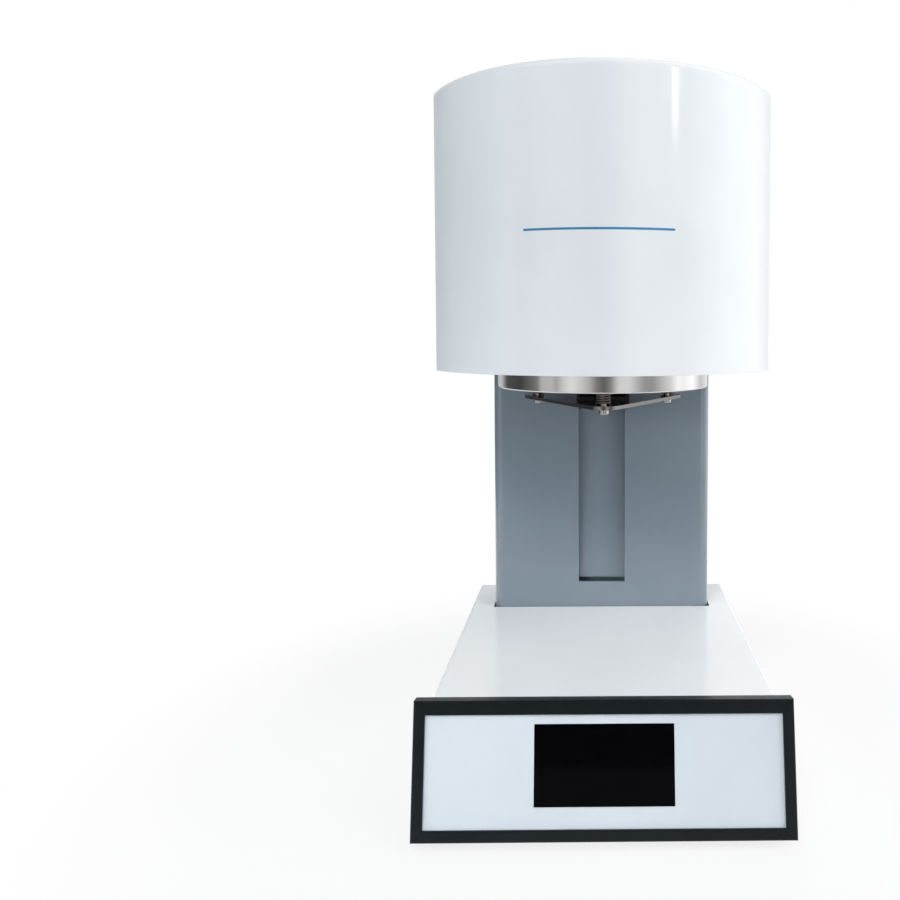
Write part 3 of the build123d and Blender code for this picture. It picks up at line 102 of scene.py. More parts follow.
def blendColors(tree, factor, first, second):
    node = addNode(tree, "ShaderNodeMix", data_type="RGBA")
    tree.links.new(factor, node.inputs[0])
    # 6 and 7 are the node's colour sockets, and 2 is its colour output
    for socket, color in ((node.inputs[6], first), (node.inputs[7], second)):
        if isinstance(color, bpy.types.NodeSocket):
            tree.links.new(color, socket)
        else:
            socket.default_value = (*color, 1)
    return node.outputs[2]


def lit(color, amount):
    return tuple(min(1.0, c * amount) for c in color)


def addRelief(tree, shader, height, depth, edge=0.0):
    # depth is the height of the relief in metres, edge the radius that sharp edges are eased by
    bump = addNode(tree, "ShaderNodeBump", {"Strength": 1.0, "Distance": depth})
    tree.links.new(height, bump.inputs["Height"])
    if edge:
        ease = addNode(tree, "ShaderNodeBevel", {"Radius": edge}, samples=4)
        tree.links.new(ease.outputs["Normal"], bump.inputs["Normal"])
    tree.links.new(bump.outputs["Normal"], shader.inputs["Normal"])


# four kinds of finish: paint, moulded plastic, worked metal and ceramic

def paintFinish(
    name, color, rough, peel=1.6 * mm, peelDepth=0.006 * mm, coat=0.3, mottle=0.02, coatRough=0.04
):
    # peel is the width of one dimple in the sprayed skin
    paint = {"patch": 45 * mm, "wear": 12 * mm, "shiny": 0.85, "dull": 1.2, "edge": 0.35 * mm}
    finish, tree, shader = startFinish(name)
    points = surfacePoints(tree)
    tone = spread(tree, addNoise(tree, points, paint["patch"], detail=3), 0, 1)
    tint = blendColors(tree, tone, lit(color, 1 - mottle), lit(color, 1 + mottle / 2))
    tree.links.new(tint, shader.inputs["Base Color"])
    wear = addNoise(tree, points, paint["wear"])
    wear = spread(tree, wear, rough * paint["shiny"], rough * paint["dull"])
    tree.links.new(wear, shader.inputs["Roughness"])
    addRelief(tree, shader, addNoise(tree, points, peel, detail=1), peelDepth, paint["edge"])
    shader.inputs["Coat Weight"].default_value = coat
    shader.inputs["Coat Roughness"].default_value = coatRough
    return finish


def plasticFinish(name, color, rough, grain=0.35 * mm, grainDepth=0.012 * mm, specular=0.4):
    # grain is the width of one pit of the mould's texture
    moulding = {
        "patch": 20 * mm, "wear": 6 * mm, "darker": 0.85, "lighter": 1.2,
        "shiny": 0.85, "dull": 1.15, "edge": 0.3 * mm,
    }
    finish, tree, shader = startFinish(name)
    points = surfacePoints(tree)
    tone = spread(tree, addNoise(tree, points, moulding["patch"], detail=4), 0, 1)
    tint = blendColors(tree, tone, lit(color, moulding["darker"]), lit(color, moulding["lighter"]))
    tree.links.new(tint, shader.inputs["Base Color"])
    wear = addNoise(tree, points, moulding["wear"], detail=3)
    wear = spread(tree, wear, rough * moulding["shiny"], rough * moulding["dull"])
    tree.links.new(wear, shader.inputs["Roughness"])
    addRelief(tree, shader, addNoise(tree, points, grain, detail=1), grainDepth, moulding["edge"])
    shader.inputs["Specular IOR Level"].default_value = specular
    return finish


def metalFinish(name, color, rough, stretch=(1, 1, 1), line=0.4 * mm, lineDepth=0.002 * mm, stain=0.12):
    # line is the width of one tool mark, which stretch draws out along the grain
    metal = {
        "patch": 14 * mm, "lineShade": 0.7, "lineShare": 0.35, "lineRough": (-0.04, 0.05),
        "shiny": 0.8, "dull": 1.15, "edge": 0.25 * mm,
    }
    finish, tree, shader = startFinish(name)
    lines = addNoise(tree, surfacePoints(tree, stretch), line, detail=3)
    patches = addNoise(tree, surfacePoints(tree), metal["patch"], detail=4)
    tone = spread(tree, patches, 0, 1)
    tint = blendColors(tree, tone, lit(color, 1 - stain), lit(color, 1 + stain / 3))
    marks = spread(tree, lines, 0, metal["lineShare"])
    tint = blendColors(tree, marks, tint, lit(color, metal["lineShade"]))
    tree.links.new(tint, shader.inputs["Base Color"])
    wear = addNode(tree, "ShaderNodeMath", operation="ADD")
    tree.links.new(spread(tree, patches, rough * metal["shiny"], rough * metal["dull"]), wear.inputs[0])
    tree.links.new(spread(tree, lines, *metal["lineRough"]), wear.inputs[1])
    tree.links.new(wear.outputs[0], shader.inputs["Roughness"])
    addRelief(tree, shader, lines, lineDepth, metal["edge"])
    shader.inputs["Metallic"].default_value = 1.0
    return finish


def ceramicFinish(name, color, rough=0.9, fibre=0.9 * mm, fibreDepth=0.12 * mm):
    # fibre is the width of one strand or grain
    ceramic = {
        "patch": 18 * mm, "darker": 0.06, "specular": 0.2,
        "pits": 0.18, "pitShare": 0.5, "pitRange": (0.55, 0.8),
    }
    finish, tree, shader = startFinish(name)
    points = surfacePoints(tree)
    threads = addNoise(tree, points, fibre, detail=6)
    tone = spread(tree, addNoise(tree, points, ceramic["patch"], detail=3), 0, 1)
    tint = blendColors(tree, tone, lit(color, 1 - ceramic["darker"]), color)
    pits = spread(tree, threads, 0, ceramic["pitShare"], *ceramic["pitRange"])
    tint = blendColors(tree, pits, tint, lit(color, 1 - ceramic["pits"]))
    tree.links.new(tint, shader.inputs["Base Color"])
    addRelief(tree, shader, threads, fibreDepth)
    shader.inputs["Roughness"].default_value = rough
    shader.inputs["Specular IOR Level"].default_value = ceramic["specular"]
    return finish


# cover is the head's white paint made lighter: painted light that makes up for the head's shade on the base
# cover
colorOf = {
    "white": (0.80, 0.83, 0.86), "cover": (0.90, 0.92, 0.94), "pale": (0.70, 0.72, 0.74),
    "column": (0.192, 0.24, 0.288), "panel": (0.62, 0.675, 0.735), "bezel": (0.004, 0.0065, 0.008),
    "black": (0.018, 0.018, 0.02), "rubber": (0.02, 0.02, 0.021), "seal": (0.30, 0.05, 0.03),
    "stripe": (0.028, 0.205, 0.39), "marks": (0.75, 0.75, 0.74),
}

whitePaint = paintFinish("white gloss paint", colorOf["white"], 0.12, coat=0.5)
# the base cover's paint is a lighter copy of the head's white paint, painted light against the head's shade
coverPaintWithPaintedLight = paintFinish("white cover paint with painted light", colorOf["cover"], 0.14, coat=0.0)
palePaint = paintFinish("pale satin paint", colorOf["pale"], 0.38, peel=0.9 * mm, coat=0.0)
columnPaint = paintFinish(
    "blue-grey gloss paint", colorOf["column"], 0.2, coat=1.0, mottle=0.04, coatRough=0.13
)
panelFilm = paintFinish(
    "panel film", colorOf["panel"], 0.34, peel=3 * mm, peelDepth=0.001 * mm, coat=0.0
)
blackPaint = paintFinish("black satin paint", colorOf["black"], 0.4, peel=0.8 * mm, coat=0.0, mottle=0.2)

bezelPlastic = plasticFinish(
    "bezel plastic", colorOf["bezel"], 0.34, grain=0.8 * mm, grainDepth=0.003 * mm, specular=0.2
)
blackPlastic = plasticFinish("black moulded plastic", colorOf["black"], 0.5)
rockerPlastic = plasticFinish("gloss rocker plastic", colorOf["black"], 0.2, grainDepth=0.003 * mm)
footRubber = plasticFinish(
    "foot rubber", colorOf["rubber"], 0.85, grain=0.5 * mm, grainDepth=0.03 * mm, specular=0.2
)
sealRubber = plasticFinish(
    "silicone seal", colorOf["seal"], 0.42, grain=0.6 * mm, grainDepth=0.006 * mm
)
stripeFilm = plasticFinish(
    "blue stripe film", colorOf["stripe"], 0.25, grain=2 * mm, grainDepth=0.0005 * mm
)
markPaint = plasticFinish(
    "white marking paint", colorOf["marks"], 0.5, grain=0.3 * mm, grainDepth=0.002 * mm
)

steelSheet = metalFinish("plain steel sheet", (0.42, 0.43, 0.44), 0.34, (1, 8, 1), 2 * mm)
zincSheet = metalFinish("zinc plated sheet", (0.50, 0.51, 0.52), 0.30, (1, 1, 1), 5 * mm, stain=0.2)
groundSteel = metalFinish("ground steel", (0.55, 0.56, 0.57), 0.16, (1, 1, 12), 0.5 * mm, stain=0.05)
# the bracket plate's steel is darkened below its own tone to paint in the shade it sits in under the lift
# plate
spiderSteelPaintedShade = metalFinish(
    "brushed bracket plate with painted shade", (0.25, 0.24, 0.23), 0.15, (14, 1, 1), 0.6 * mm, 0.001 * mm
)
boltSteel = metalFinish("stainless bolts", (0.50, 0.48, 0.45), 0.22, stain=0.08)
screwSteel = metalFinish("nickel plated screws", (0.55, 0.55, 0.54), 0.20, stain=0.06)
platedWire = metalFinish("plated wire", (0.52, 0.53, 0.55), 0.18, stain=0.05)
springWire = metalFinish("oiled spring wire", (0.20, 0.175, 0.15), 0.3, stain=0.15)
alloyBlock = metalFinish("machined alloy", (0.60, 0.61, 0.62), 0.28, (1, 1, 10), 0.7 * mm, 0.003 * mm)
brassParts = metalFinish("turned brass", (0.62, 0.43, 0.17), 0.24, (1, 1, 10), 0.5 * mm, stain=0.18)
copperPipe = metalFinish(
    "drawn copper tube", (0.62, 0.27, 0.15), 0.25, (1, 1, 0.2), 1.2 * mm, stain=0.25
)
heatingWire = metalFinish("oxidised heating wire", (0.12, 0.11, 0.10), 0.55, stain=0.25)

fibreBoard = ceramicFinish("ceramic fibre board", (0.80, 0.77, 0.70))
firingCeramic = ceramicFinish("firing table ceramic", (0.76, 0.73, 0.66), 0.8, 0.5 * mm, 0.04 * mm)


def turnedSteelFinish():
    # polished plate: fine turned rings on its flat faces and rings round its rim
    ring = {
        "pitch": 0.35 * mm, "depth": 0.0012 * mm, "color": (0.72, 0.712, 0.70), "rough": 0.085,
        "shiny": 0.7, "dull": 1.5, "patch": 25 * mm, "darker": 0.93, "edge": 0.3 * mm, "aniso": 0.35,
    }
    finish, tree, shader = startFinish("polished turned steel")
    low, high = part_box("lift_plate")
    axis = (low + high) / 2
    coords = addNode(tree, "ShaderNodeTexCoord")
    offset = addNode(tree, "ShaderNodeVectorMath", {1: (-axis.x, -axis.y, 0)}, operation="ADD")
    tree.links.new(coords.outputs["Object"], offset.inputs[0])
    apart = addNode(tree, "ShaderNodeSeparateXYZ")
    tree.links.new(offset.outputs[0], apart.inputs[0])
    flat = addNode(tree, "ShaderNodeCombineXYZ")
    tree.links.new(apart.outputs["X"], flat.inputs["X"])
    tree.links.new(apart.outputs["Y"], flat.inputs["Y"])
    radius = addNode(tree, "ShaderNodeVectorMath", operation="LENGTH")
    tree.links.new(flat.outputs[0], radius.inputs[0])
    # the radius changes over the faces and the height over the rim, so their sum draws both
    lane = addNode(tree, "ShaderNodeMath", operation="ADD")
    tree.links.new(radius.outputs["Value"], lane.inputs[0])
    tree.links.new(apart.outputs["Z"], lane.inputs[1])
    fine = {"Scale": 1 / ring["pitch"], "Detail": 3}
    turning = addNode(tree, "ShaderNodeTexNoise", fine, noise_dimensions="1D")
    tree.links.new(lane.outputs[0], turning.inputs["W"])
    tone = spread(tree, addNoise(tree, coords.outputs["Object"], ring["patch"], detail=3), 0, 1)
    tint = blendColors(tree, tone, lit(ring["color"], ring["darker"]), ring["color"])
    tree.links.new(tint, shader.inputs["Base Color"])
    shiny, dull = ring["rough"] * ring["shiny"], ring["rough"] * ring["dull"]
    tree.links.new(spread(tree, turning.outputs["Fac"], shiny, dull), shader.inputs["Roughness"])
    addRelief(tree, shader, turning.outputs["Fac"], ring["depth"], ring["edge"])
    tangent = addNode(tree, "ShaderNodeTangent", direction_type="RADIAL", axis="Z")
    tree.links.new(tangent.outputs[0], shader.inputs["Tangent"])
    shader.inputs["Metallic"].default_value = 1.0
    shader.inputs["Anisotropic"].default_value = ring["aniso"]
    return finish


def screenGlassFinish():
    # unlit touch glass with faint wiping marks
    glass = {
        "color": (0.0009, 0.0009, 0.0013), "rough": 0.05, "smudge": 0.12, "size": 16 * mm,
        "stretch": (1, 1, 2.5), "lighter": 1.8, "specular": 0.03,
    }
    finish, tree, shader = startFinish("unlit screen glass")
    smudges = addNoise(tree, surfacePoints(tree, glass["stretch"]), glass["size"], detail=5)
    tone = spread(tree, smudges, 0, 1)
    tint = blendColors(tree, tone, glass["color"], lit(glass["color"], glass["lighter"]))
    tree.links.new(tint, shader.inputs["Base Color"])
    tree.links.new(spread(tree, smudges, glass["rough"], glass["smudge"]), shader.inputs["Roughness"])
    shader.inputs["Specular IOR Level"].default_value = glass["specular"]
    return finish


def circuitBoardFinish():
    # green solder mask over a grid of tracks
    board = {
        "mask": (0.012, 0.10, 0.045), "track": (0.03, 0.19, 0.09), "pitch": 2.2 * mm, "line": 0.09,
        "raised": 0.03 * mm, "edge": 0.1 * mm, "patch": 5 * mm, "shiny": 0.22, "dull": 0.34,
    }
    white, black = (1, 1, 1, 1), (0, 0, 0, 1)
    finish, tree, shader = startFinish("circuit board")
    points = surfacePoints(tree)
    bricks = addNode(tree, "ShaderNodeTexBrick", {
        "Scale": 1 / board["pitch"], "Mortar Size": board["line"],
        "Color1": white, "Color2": white, "Mortar": black,
    })
    tree.links.new(points, bricks.inputs["Vector"])
    tint = blendColors(tree, bricks.outputs["Fac"], board["mask"], board["track"])
    tree.links.new(tint, shader.inputs["Base Color"])
    addRelief(tree, shader, bricks.outputs["Fac"], board["raised"], board["edge"])
    wear = spread(tree, addNoise(tree, points, board["patch"]), board["shiny"], board["dull"])
    tree.links.new(wear, shader.inputs["Roughness"])
    return finish


def quartzFinish():
    # clear tube with a haze that is drawn out along it
    tube = {
        "stretch": (1, 1, 0.3), "haze": 9 * mm, "clear": 0.05, "hazy": 0.22, "wave": 0.02 * mm,
        "dark": (0.90, 0.90, 0.86), "light": (0.97, 0.97, 0.95), "transmission": 0.9, "ior": 1.46,
    }
    finish, tree, shader = startFinish("fused quartz")
    haze = addNoise(tree, surfacePoints(tree, tube["stretch"]), tube["haze"], detail=4)
    tree.links.new(spread(tree, haze, tube["clear"], tube["hazy"]), shader.inputs["Roughness"])
    tree.links.new(blendColors(tree, haze, tube["dark"], tube["light"]), shader.inputs["Base Color"])
    addRelief(tree, shader, haze, tube["wave"])
    shader.inputs["Transmission Weight"].default_value = tube["transmission"]
    shader.inputs["IOR"].default_value = tube["ior"]
    return finish


turnedSteel = turnedSteelFinish()
screenGlass = screenGlassFinish()
circuitBoard = circuitBoardFinish()
quartz = quartzFinish()

finishOf = {
    "base_pan": steelSheet, "rubber_feet": footRubber, "base_cover": coverPaintWithPaintedLight, "rear_panel": palePaint,
    "bezel_frame": bezelPlastic, "front_panel": panelFilm, "screen_glass": screenGlass,
    "display_module": blackPlastic, "front_bracket": steelSheet, "control_board": circuitBoard,
    "power_supply": zincSheet, "solid_state_relay": blackPlastic, "power_inlet": blackPlastic,
    "contact_pins": brassParts, "fuse_drawer": blackPlastic, "pump_socket": blackPlastic,
    "switch_housing": blackPlastic, "power_rocker": rockerPlastic, "fan_frame": blackPlastic,
    "fan_rotor": blackPlastic, "fan_guard": platedWire, "vacuum_port": brassParts,
    "vacuum_pipe": copperPipe, "vent_valve": brassParts, "column_front": columnPaint,
    "column_back": columnPaint, "slot_plate": columnPaint, "lift_frame": steelSheet,
    "guide_rods": groundSteel, "screw_bearings": groundSteel, "lift_motor": blackPaint,
    "motor_rotor": groundSteel, "shaft_coupling": alloyBlock, "lead_screw": groundSteel,
    "lift_carriage": alloyBlock, "linear_bearings": groundSteel, "lead_nut": brassParts,
    "lift_arm": blackPaint, "spider_plate": spiderSteelPaintedShade, "suspension_springs": springWire,
    "lift_plate": turnedSteel, "suspension_bolts": boltSteel, "door_seal": sealRubber,
    "door_insulation": fibreBoard, "firing_table": firingCeramic, "head_cover": whitePaint,
    "head_back": palePaint, "head_base_plate": palePaint, "head_brackets": zincSheet,
    "chamber_flange": alloyBlock, "chamber_shell": steelSheet, "insulation_ring": fibreBoard,
    "insulation_top": fibreBoard, "heating_muffle": quartz, "heater_coil": heatingWire,
    "heater_terminals": firingCeramic, "thermocouple": firingCeramic, "case_screws": screwSteel,
    "frame_screws": zincSheet, "arm_screws": screwSteel,
}
for nodeName, finish in finishOf.items():
    cadNodes[nodeName].data.materials.clear()
    cadNodes[nodeName].data.materials.append(finish)
print("finishes on every node")


# mesh helpers

def quarterTurn(steps):
    # the angles of an arc from 0 to 90 degrees
    return [math.radians(90 * i / steps) for i in range(steps + 1)]


def meshObject(name, form, finish, body, smoothAngle):
    # form is a bmesh that already stands in its place
    bmesh.ops.recalc_face_normals(form, faces=form.faces)
    mesh = bpy.data.meshes.new(name)
    form.to_mesh(mesh)
    form.free()
    for face in mesh.polygons:
        face.use_smooth = True
    mesh.set_sharp_from_angle(angle=math.radians(smoothAngle))
    piece = bpy.data.objects.new(name, mesh)
    bpy.context.scene.collection.objects.link(piece)
    mesh.materials.append(finish)
    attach(piece, body)
    return piece


def addLathe(form, profile, place, steps):
    # turns a list of (radius, height) about the local Z of place; a radius of 0 closes to a point
    rings = []
    for radius, height in profile:
        if radius == 0:
            rings.append([form.verts.new(place @ Vector((0, 0, height)))])
            continue
        ring = []
        for i in range(steps):
            angle = 2 * math.pi * i / steps
            spot = Vector((radius * math.cos(angle), radius * math.sin(angle), height))
            ring.append(form.verts.new(place @ spot))
        rings.append(ring)
    for low, high in zip(rings, rings[1:]):
        for i in range(steps):
            j = (i + 1) % steps
            corners = [low[i % len(low)], low[j % len(low)], high[j % len(high)], high[i % len(high)]]
            distinct = list(dict.fromkeys(corners))
            if len(distinct) > 2:
                form.faces.new(distinct)


def joinRings(form, rings):
    # a closed skin over rings of the same number of points
    for low, high in zip(rings, rings[1:]):
        for k in range(len(low)):
            j = (k + 1) % len(low)
            form.faces.new((low[k], low[j], high[j], high[k]))
    form.faces.new(rings[0][::-1])
    form.faces.new(rings[-1])


def addTube(form, path, radius, sides):
    # a round wire along a list of points, with flat ends
    rings = []
    side = None
    for i, point in enumerate(path):
        before = path[max(i - 1, 0)]
        after = path[min(i + 1, len(path) - 1)]
        along = (after - before).normalized()
        if side is None:
            side = along.orthogonal().normalized()
        side = (side - along * side.dot(along)).normalized()
        other = along.cross(side)
        ring = []
        for k in range(sides):
            angle = 2 * math.pi * k / sides
            ring.append(form.verts.new(point + (side * math.cos(angle) + other * math.sin(angle)) * radius))
        rings.append(ring)
    joinRings(form, rings)


def spanOf(points):
    low = Vector([min(p[k] for p in points) for k in range(3)])
    high = Vector([max(p[k] for p in points) for k in range(3)])
    return low, high


def islandsOf(nodeName):
    # the separate solids of a node, each as a list of points
    form = bmesh.new()
    form.from_mesh(cadNodes[nodeName].data)
    bmesh.ops.remove_doubles(form, verts=form.verts, dist=weld)
    islands = []
    waiting = set(form.verts)
    while waiting:
        group = [waiting.pop()]
        for vert in group:
            near = [edge.other_vert(vert) for edge in vert.link_edges]
            fresh = [v for v in near if v in waiting]
            waiting.difference_update(fresh)
            group.extend(fresh)
        islands.append([v.co.copy() for v in group])
    form.free()
    # in the order of their low corners, so that every run gives the same order
    return sorted(islands, key=lambda points: tuple(round(c, 5) for c in spanOf(points)[0]))


# screws: pan heads with a cross recess, or cap heads with a hexagon socket
# radii are shares of the head's radius and heights shares of its height, but for the shank's tip
screwShape = {
    "edge": 0.99, "edgeHeight": 0.08, "domeSteps": 6, "sides": 32, "tip": 0.75, "tipLength": 0.4,
    "cross": {"dome": 0.34, "reach": 0.52, "width": 0.1, "floor": 0.3, "top": 1.2, "taper": 0.55},
    "hexagon": {"dome": 0.12, "reach": 0.5, "floor": 0.35, "top": 1.3},
    "turn": 37,  # degrees from one screw's recess to the next, so that no two lie the same way
}


def screwPlaces(nodeName):
    # each solid's seat: a matrix whose Z points out of the head, and the sizes of head and shank
    rim, shankLimit, coreLimit = 0.95, 0.8, 0.1  # shares of the head's radius that tell its points apart
    places = []
    for points in islandsOf(nodeName):
        low, high = spanOf(points)
        size = high - low
        middle = (low + high) / 2
        # a screw is as wide as it is deep, so its axis is the one whose two others match
        pairs = [abs(size[(k + 1) % 3] - size[(k + 2) % 3]) for k in range(3)]
        k = pairs.index(min(pairs))
        across, over = (k + 1) % 3, (k + 2) % 3
        radial = [math.hypot(p[across] - middle[across], p[over] - middle[over]) for p in points]
        headRadius = max(radial)
        reach = [p[k] for p, r in zip(points, radial) if r > rim * headRadius]
        shank = [r for r in radial if coreLimit * headRadius < r < shankLimit * headRadius]
        out = 1 if sum(reach) / len(reach) > middle[k] else -1
        seat = middle.copy()
        seat[k] = min(reach) if out > 0 else max(reach)
        axis = Vector([out if i == k else 0 for i in range(3)])
        turn = axis.to_track_quat("Z", "Y").to_matrix().to_4x4()
        height = max(reach) - min(reach)
        places.append({
            "matrix": Matrix.Translation(seat) @ turn, "radius": headRadius, "height": height,
            "length": size[k] - height, "shank": max(shank),
        })
    return places


def crossPrism(reach, width, low, high, taper):
    # the driver's cross, narrower towards its floor
    form = bmesh.new()
    plan = []
    for turn in range(4):
        angle = math.radians(90 * turn)
        cosine, sine = math.cos(angle), math.sin(angle)
        for x, y in ((width, width), (reach, width), (reach, -width)):
            plan.append((x * cosine - y * sine, x * sine + y * cosine))
    order = sorted(plan, key=lambda p: math.atan2(p[1], p[0]))
    floor = [form.verts.new((x * taper, y * taper, low)) for x, y in order]
    mouth = [form.verts.new((x, y, high)) for x, y in order]
    joinRings(form, [floor, mouth])
    return form


def cutForm(body, tool):
    # body minus tool, both bmeshes with closed skins
    meshes = []
    for form in (body, tool):
        bmesh.ops.recalc_face_normals(form, faces=form.faces)
        mesh = bpy.data.meshes.new("cutting")
        form.to_mesh(mesh)
        form.free()
        meshes.append(mesh)
    holder, knife = (bpy.data.objects.new("cutting", mesh) for mesh in meshes)
    for thing in (holder, knife):
        bpy.context.scene.collection.objects.link(thing)
    boolean = holder.modifiers.new("cut", "BOOLEAN")
    boolean.object = knife
    boolean.operation = "DIFFERENCE"
    boolean.solver = "EXACT"
    result = bpy.data.meshes.new_from_object(holder.evaluated_get(bpy.context.evaluated_depsgraph_get()))
    for thing in (holder, knife):
        bpy.data.objects.remove(thing)
    for mesh in meshes:
        bpy.data.meshes.remove(mesh)
    return result


def screwPattern(place, recess):
    # one screw at the origin, its seat at z = 0 and its head above
    radius, height, shank, length = (place[key] for key in ("radius", "height", "shank", "length"))
    kind = screwShape[recess]
    dome = kind["dome"]
    tip = -length + shank * screwShape["tipLength"]
    profile = [(0, -length), (shank * screwShape["tip"], -length), (shank, tip), (shank, 0)]
    profile += [(radius * screwShape["edge"], 0), (radius, height * screwShape["edgeHeight"])]
    for angle in quarterTurn(screwShape["domeSteps"]):
        inset = radius * dome * (1 - math.cos(angle))
        profile.append((radius - inset, height * (1 - dome) + height * dome * math.sin(angle)))
    profile.append((0, height))
    form = bmesh.new()
    addLathe(form, profile, Matrix.Identity(4), screwShape["sides"])
    reach, floor, top = radius * kind["reach"], height * kind["floor"], height * kind["top"]
    if recess == "cross":
        tool = crossPrism(reach, radius * kind["width"], floor, top, kind["taper"])
    else:
        tool = bmesh.new()
        addLathe(tool, [(0, floor), (reach, floor), (reach, top), (0, top)], Matrix.Identity(4), 6)
    return cutForm(form, tool)


def dressScrews(name, nodeName, finish, body, recess):
    patterns = {}
    form = bmesh.new()
    for number, place in enumerate(screwPlaces(nodeName), 1):
        key = tuple(round(place[size], 5) for size in ("radius", "height", "length"))
        if key not in patterns:
            patterns[key] = screwPattern(place, recess)
        turn = math.radians(screwShape["turn"] * number)
        at = place["matrix"] @ Matrix.Rotation(turn, 4, "Z")
        start = len(form.verts)
        form.from_mesh(patterns[key])
        form.verts.ensure_lookup_table()
        bmesh.ops.transform(form, matrix=at, verts=form.verts[start:])
    piece = meshObject(name, form, finish, body, smoothAngle=30)
    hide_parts(nodeName)
    for pattern in patterns.values():
        bpy.data.meshes.remove(pattern)


dressScrews("caseScrewSet", "case_screws", screwSteel, "root", "cross")
dressScrews("frameScrewSet", "frame_screws", zincSheet, "root", "hexagon")
dressScrews("armScrewSet", "arm_screws", screwSteel, "lift", "hexagon")
print("screws dressed")


# panel: everything on it is drawn in the plane that leans back

panel = {"lean": 10.5, "height": 103 * mm, "depth": 12 * mm}  # lean in degrees
bezelLow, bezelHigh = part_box("bezel_frame")
lean = math.radians(panel["lean"])
panelFoot = Vector((0, 0, bezelLow.z + panel["depth"] * math.sin(lean)))
# the back edge of the top border is the frame's last point in y
panelFoot.y = bezelHigh.y - panel["height"] * math.sin(lean) - panel["depth"] * math.cos(lean)
panelPlace = Matrix.Translation(panelFoot) @ Matrix.Rotation(math.pi / 2 - lean, 4, "X")


def buildBezel():
    bezel = {
        "side": 9 * mm, "bottom": 9 * mm, "top": 10.5 * mm, "outerRound": 1.9 * mm,
        "innerRound": 0.6 * mm, "lip": 2 * mm, "rebate": 2.3 * mm, "mitre": 0.06 * mm,
        "outerSteps": 8, "innerSteps": 6,
    }
    half = (bezelHigh.x - bezelLow.x) / 2
    height = panel["height"]
    back = -panel["depth"]

    def cornersAt(inset, z, shift=0.0):
        # the corners of a rectangle, this share of the way in from the outer edge to the inner one
        x = half - inset * bezel["side"] - shift
        low = inset * bezel["bottom"] + shift
        high = height - inset * bezel["top"] - shift
        return [Vector((-x, low, z)), Vector((x, low, z)), Vector((x, high, z)), Vector((-x, high, z))]

    loops = [cornersAt(0, back)]
    drop = bezel["outerRound"]
    for angle in quarterTurn(bezel["outerSteps"]):
        loops.append(cornersAt(0, -drop + drop * math.sin(angle), drop * (1 - math.cos(angle))))
    drop = bezel["innerRound"]
    for angle in quarterTurn(bezel["innerSteps"]):
        loops.append(cornersAt(1, -drop + drop * math.cos(angle), -drop * (1 - math.sin(angle))))
    loops.append(cornersAt(1, -bezel["lip"]))
    loops.append(cornersAt(1, -bezel["lip"], -bezel["rebate"]))
    loops.append(cornersAt(1, back, -bezel["rebate"]))
    form = bmesh.new()
    # four strips that meet in a fine mitre line
    for side in range(4):
        first, second = side, (side + 1) % 4
        along = (loops[0][second] - loops[0][first]).normalized() * bezel["mitre"]
        ends = []
        for corner, shift in ((first, along), (second, -along)):
            ends.append([form.verts.new(panelPlace @ (loop[corner] + shift)) for loop in loops])
        count = len(loops)
        for i in range(count):
            j = (i + 1) % count
            form.faces.new((ends[0][i], ends[1][i], ends[1][j], ends[0][j]))
        form.faces.new(ends[0])
        form.faces.new(ends[1][::-1])
    piece = meshObject("mitredBezel", form, bezelPlastic, "root", smoothAngle=30)
    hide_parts("bezel_frame")


buildBezel()
print("panel dressed")


# suspension: the wire springs under the lift plate

def buildSprings():
    # ends are the flat turns at the foot and at the top, steps and sides those of the wire
    spring = {"wire": 0.75 * mm, "turns": 3.2, "ends": 0.8, "steps": 34, "sides": 10, "travel": 3 * mm}
    form = bmesh.new()
    for points in islandsOf("suspension_springs"):
        low, high = spanOf(points)
        centre = (low + high) / 2
        radius = (high.x - low.x) / 2 - spring["wire"]
        bottom, top = low.z + spring["wire"], high.z - spring["wire"]
        ends = spring["ends"]
        turns = spring["turns"] + 2 * ends
        count = int(turns * spring["steps"])
        flat = spring["wire"] * 2
        path = []
        for i in range(count + 1):
            turn = turns * i / count
            # an end turn rises by one thickness of wire, and the turns between climb evenly
            foot = min(turn / ends, 1)
            climb = min(max((turn - ends) / spring["turns"], 0), 1)
            head = min(max(turn - turns + ends, 0) / ends, 1)
            height = bottom + (top - bottom - 2 * flat) * climb + flat * (foot + head)
            angle = 2 * math.pi * turn
            x = centre.x + radius * math.cos(angle)
            y = centre.y + radius * math.sin(angle)
            path.append(Vector((x, y, height)))
        addTube(form, path, spring["wire"], spring["sides"])
    piece = meshObject("coilSprings", form, springWire, "lift", smoothAngle=60)
    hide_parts("suspension_springs")
    low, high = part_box("suspension_springs")
    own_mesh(piece)


buildSprings()
print("suspension dressed")


# lift drive: a two-start thread on the screw

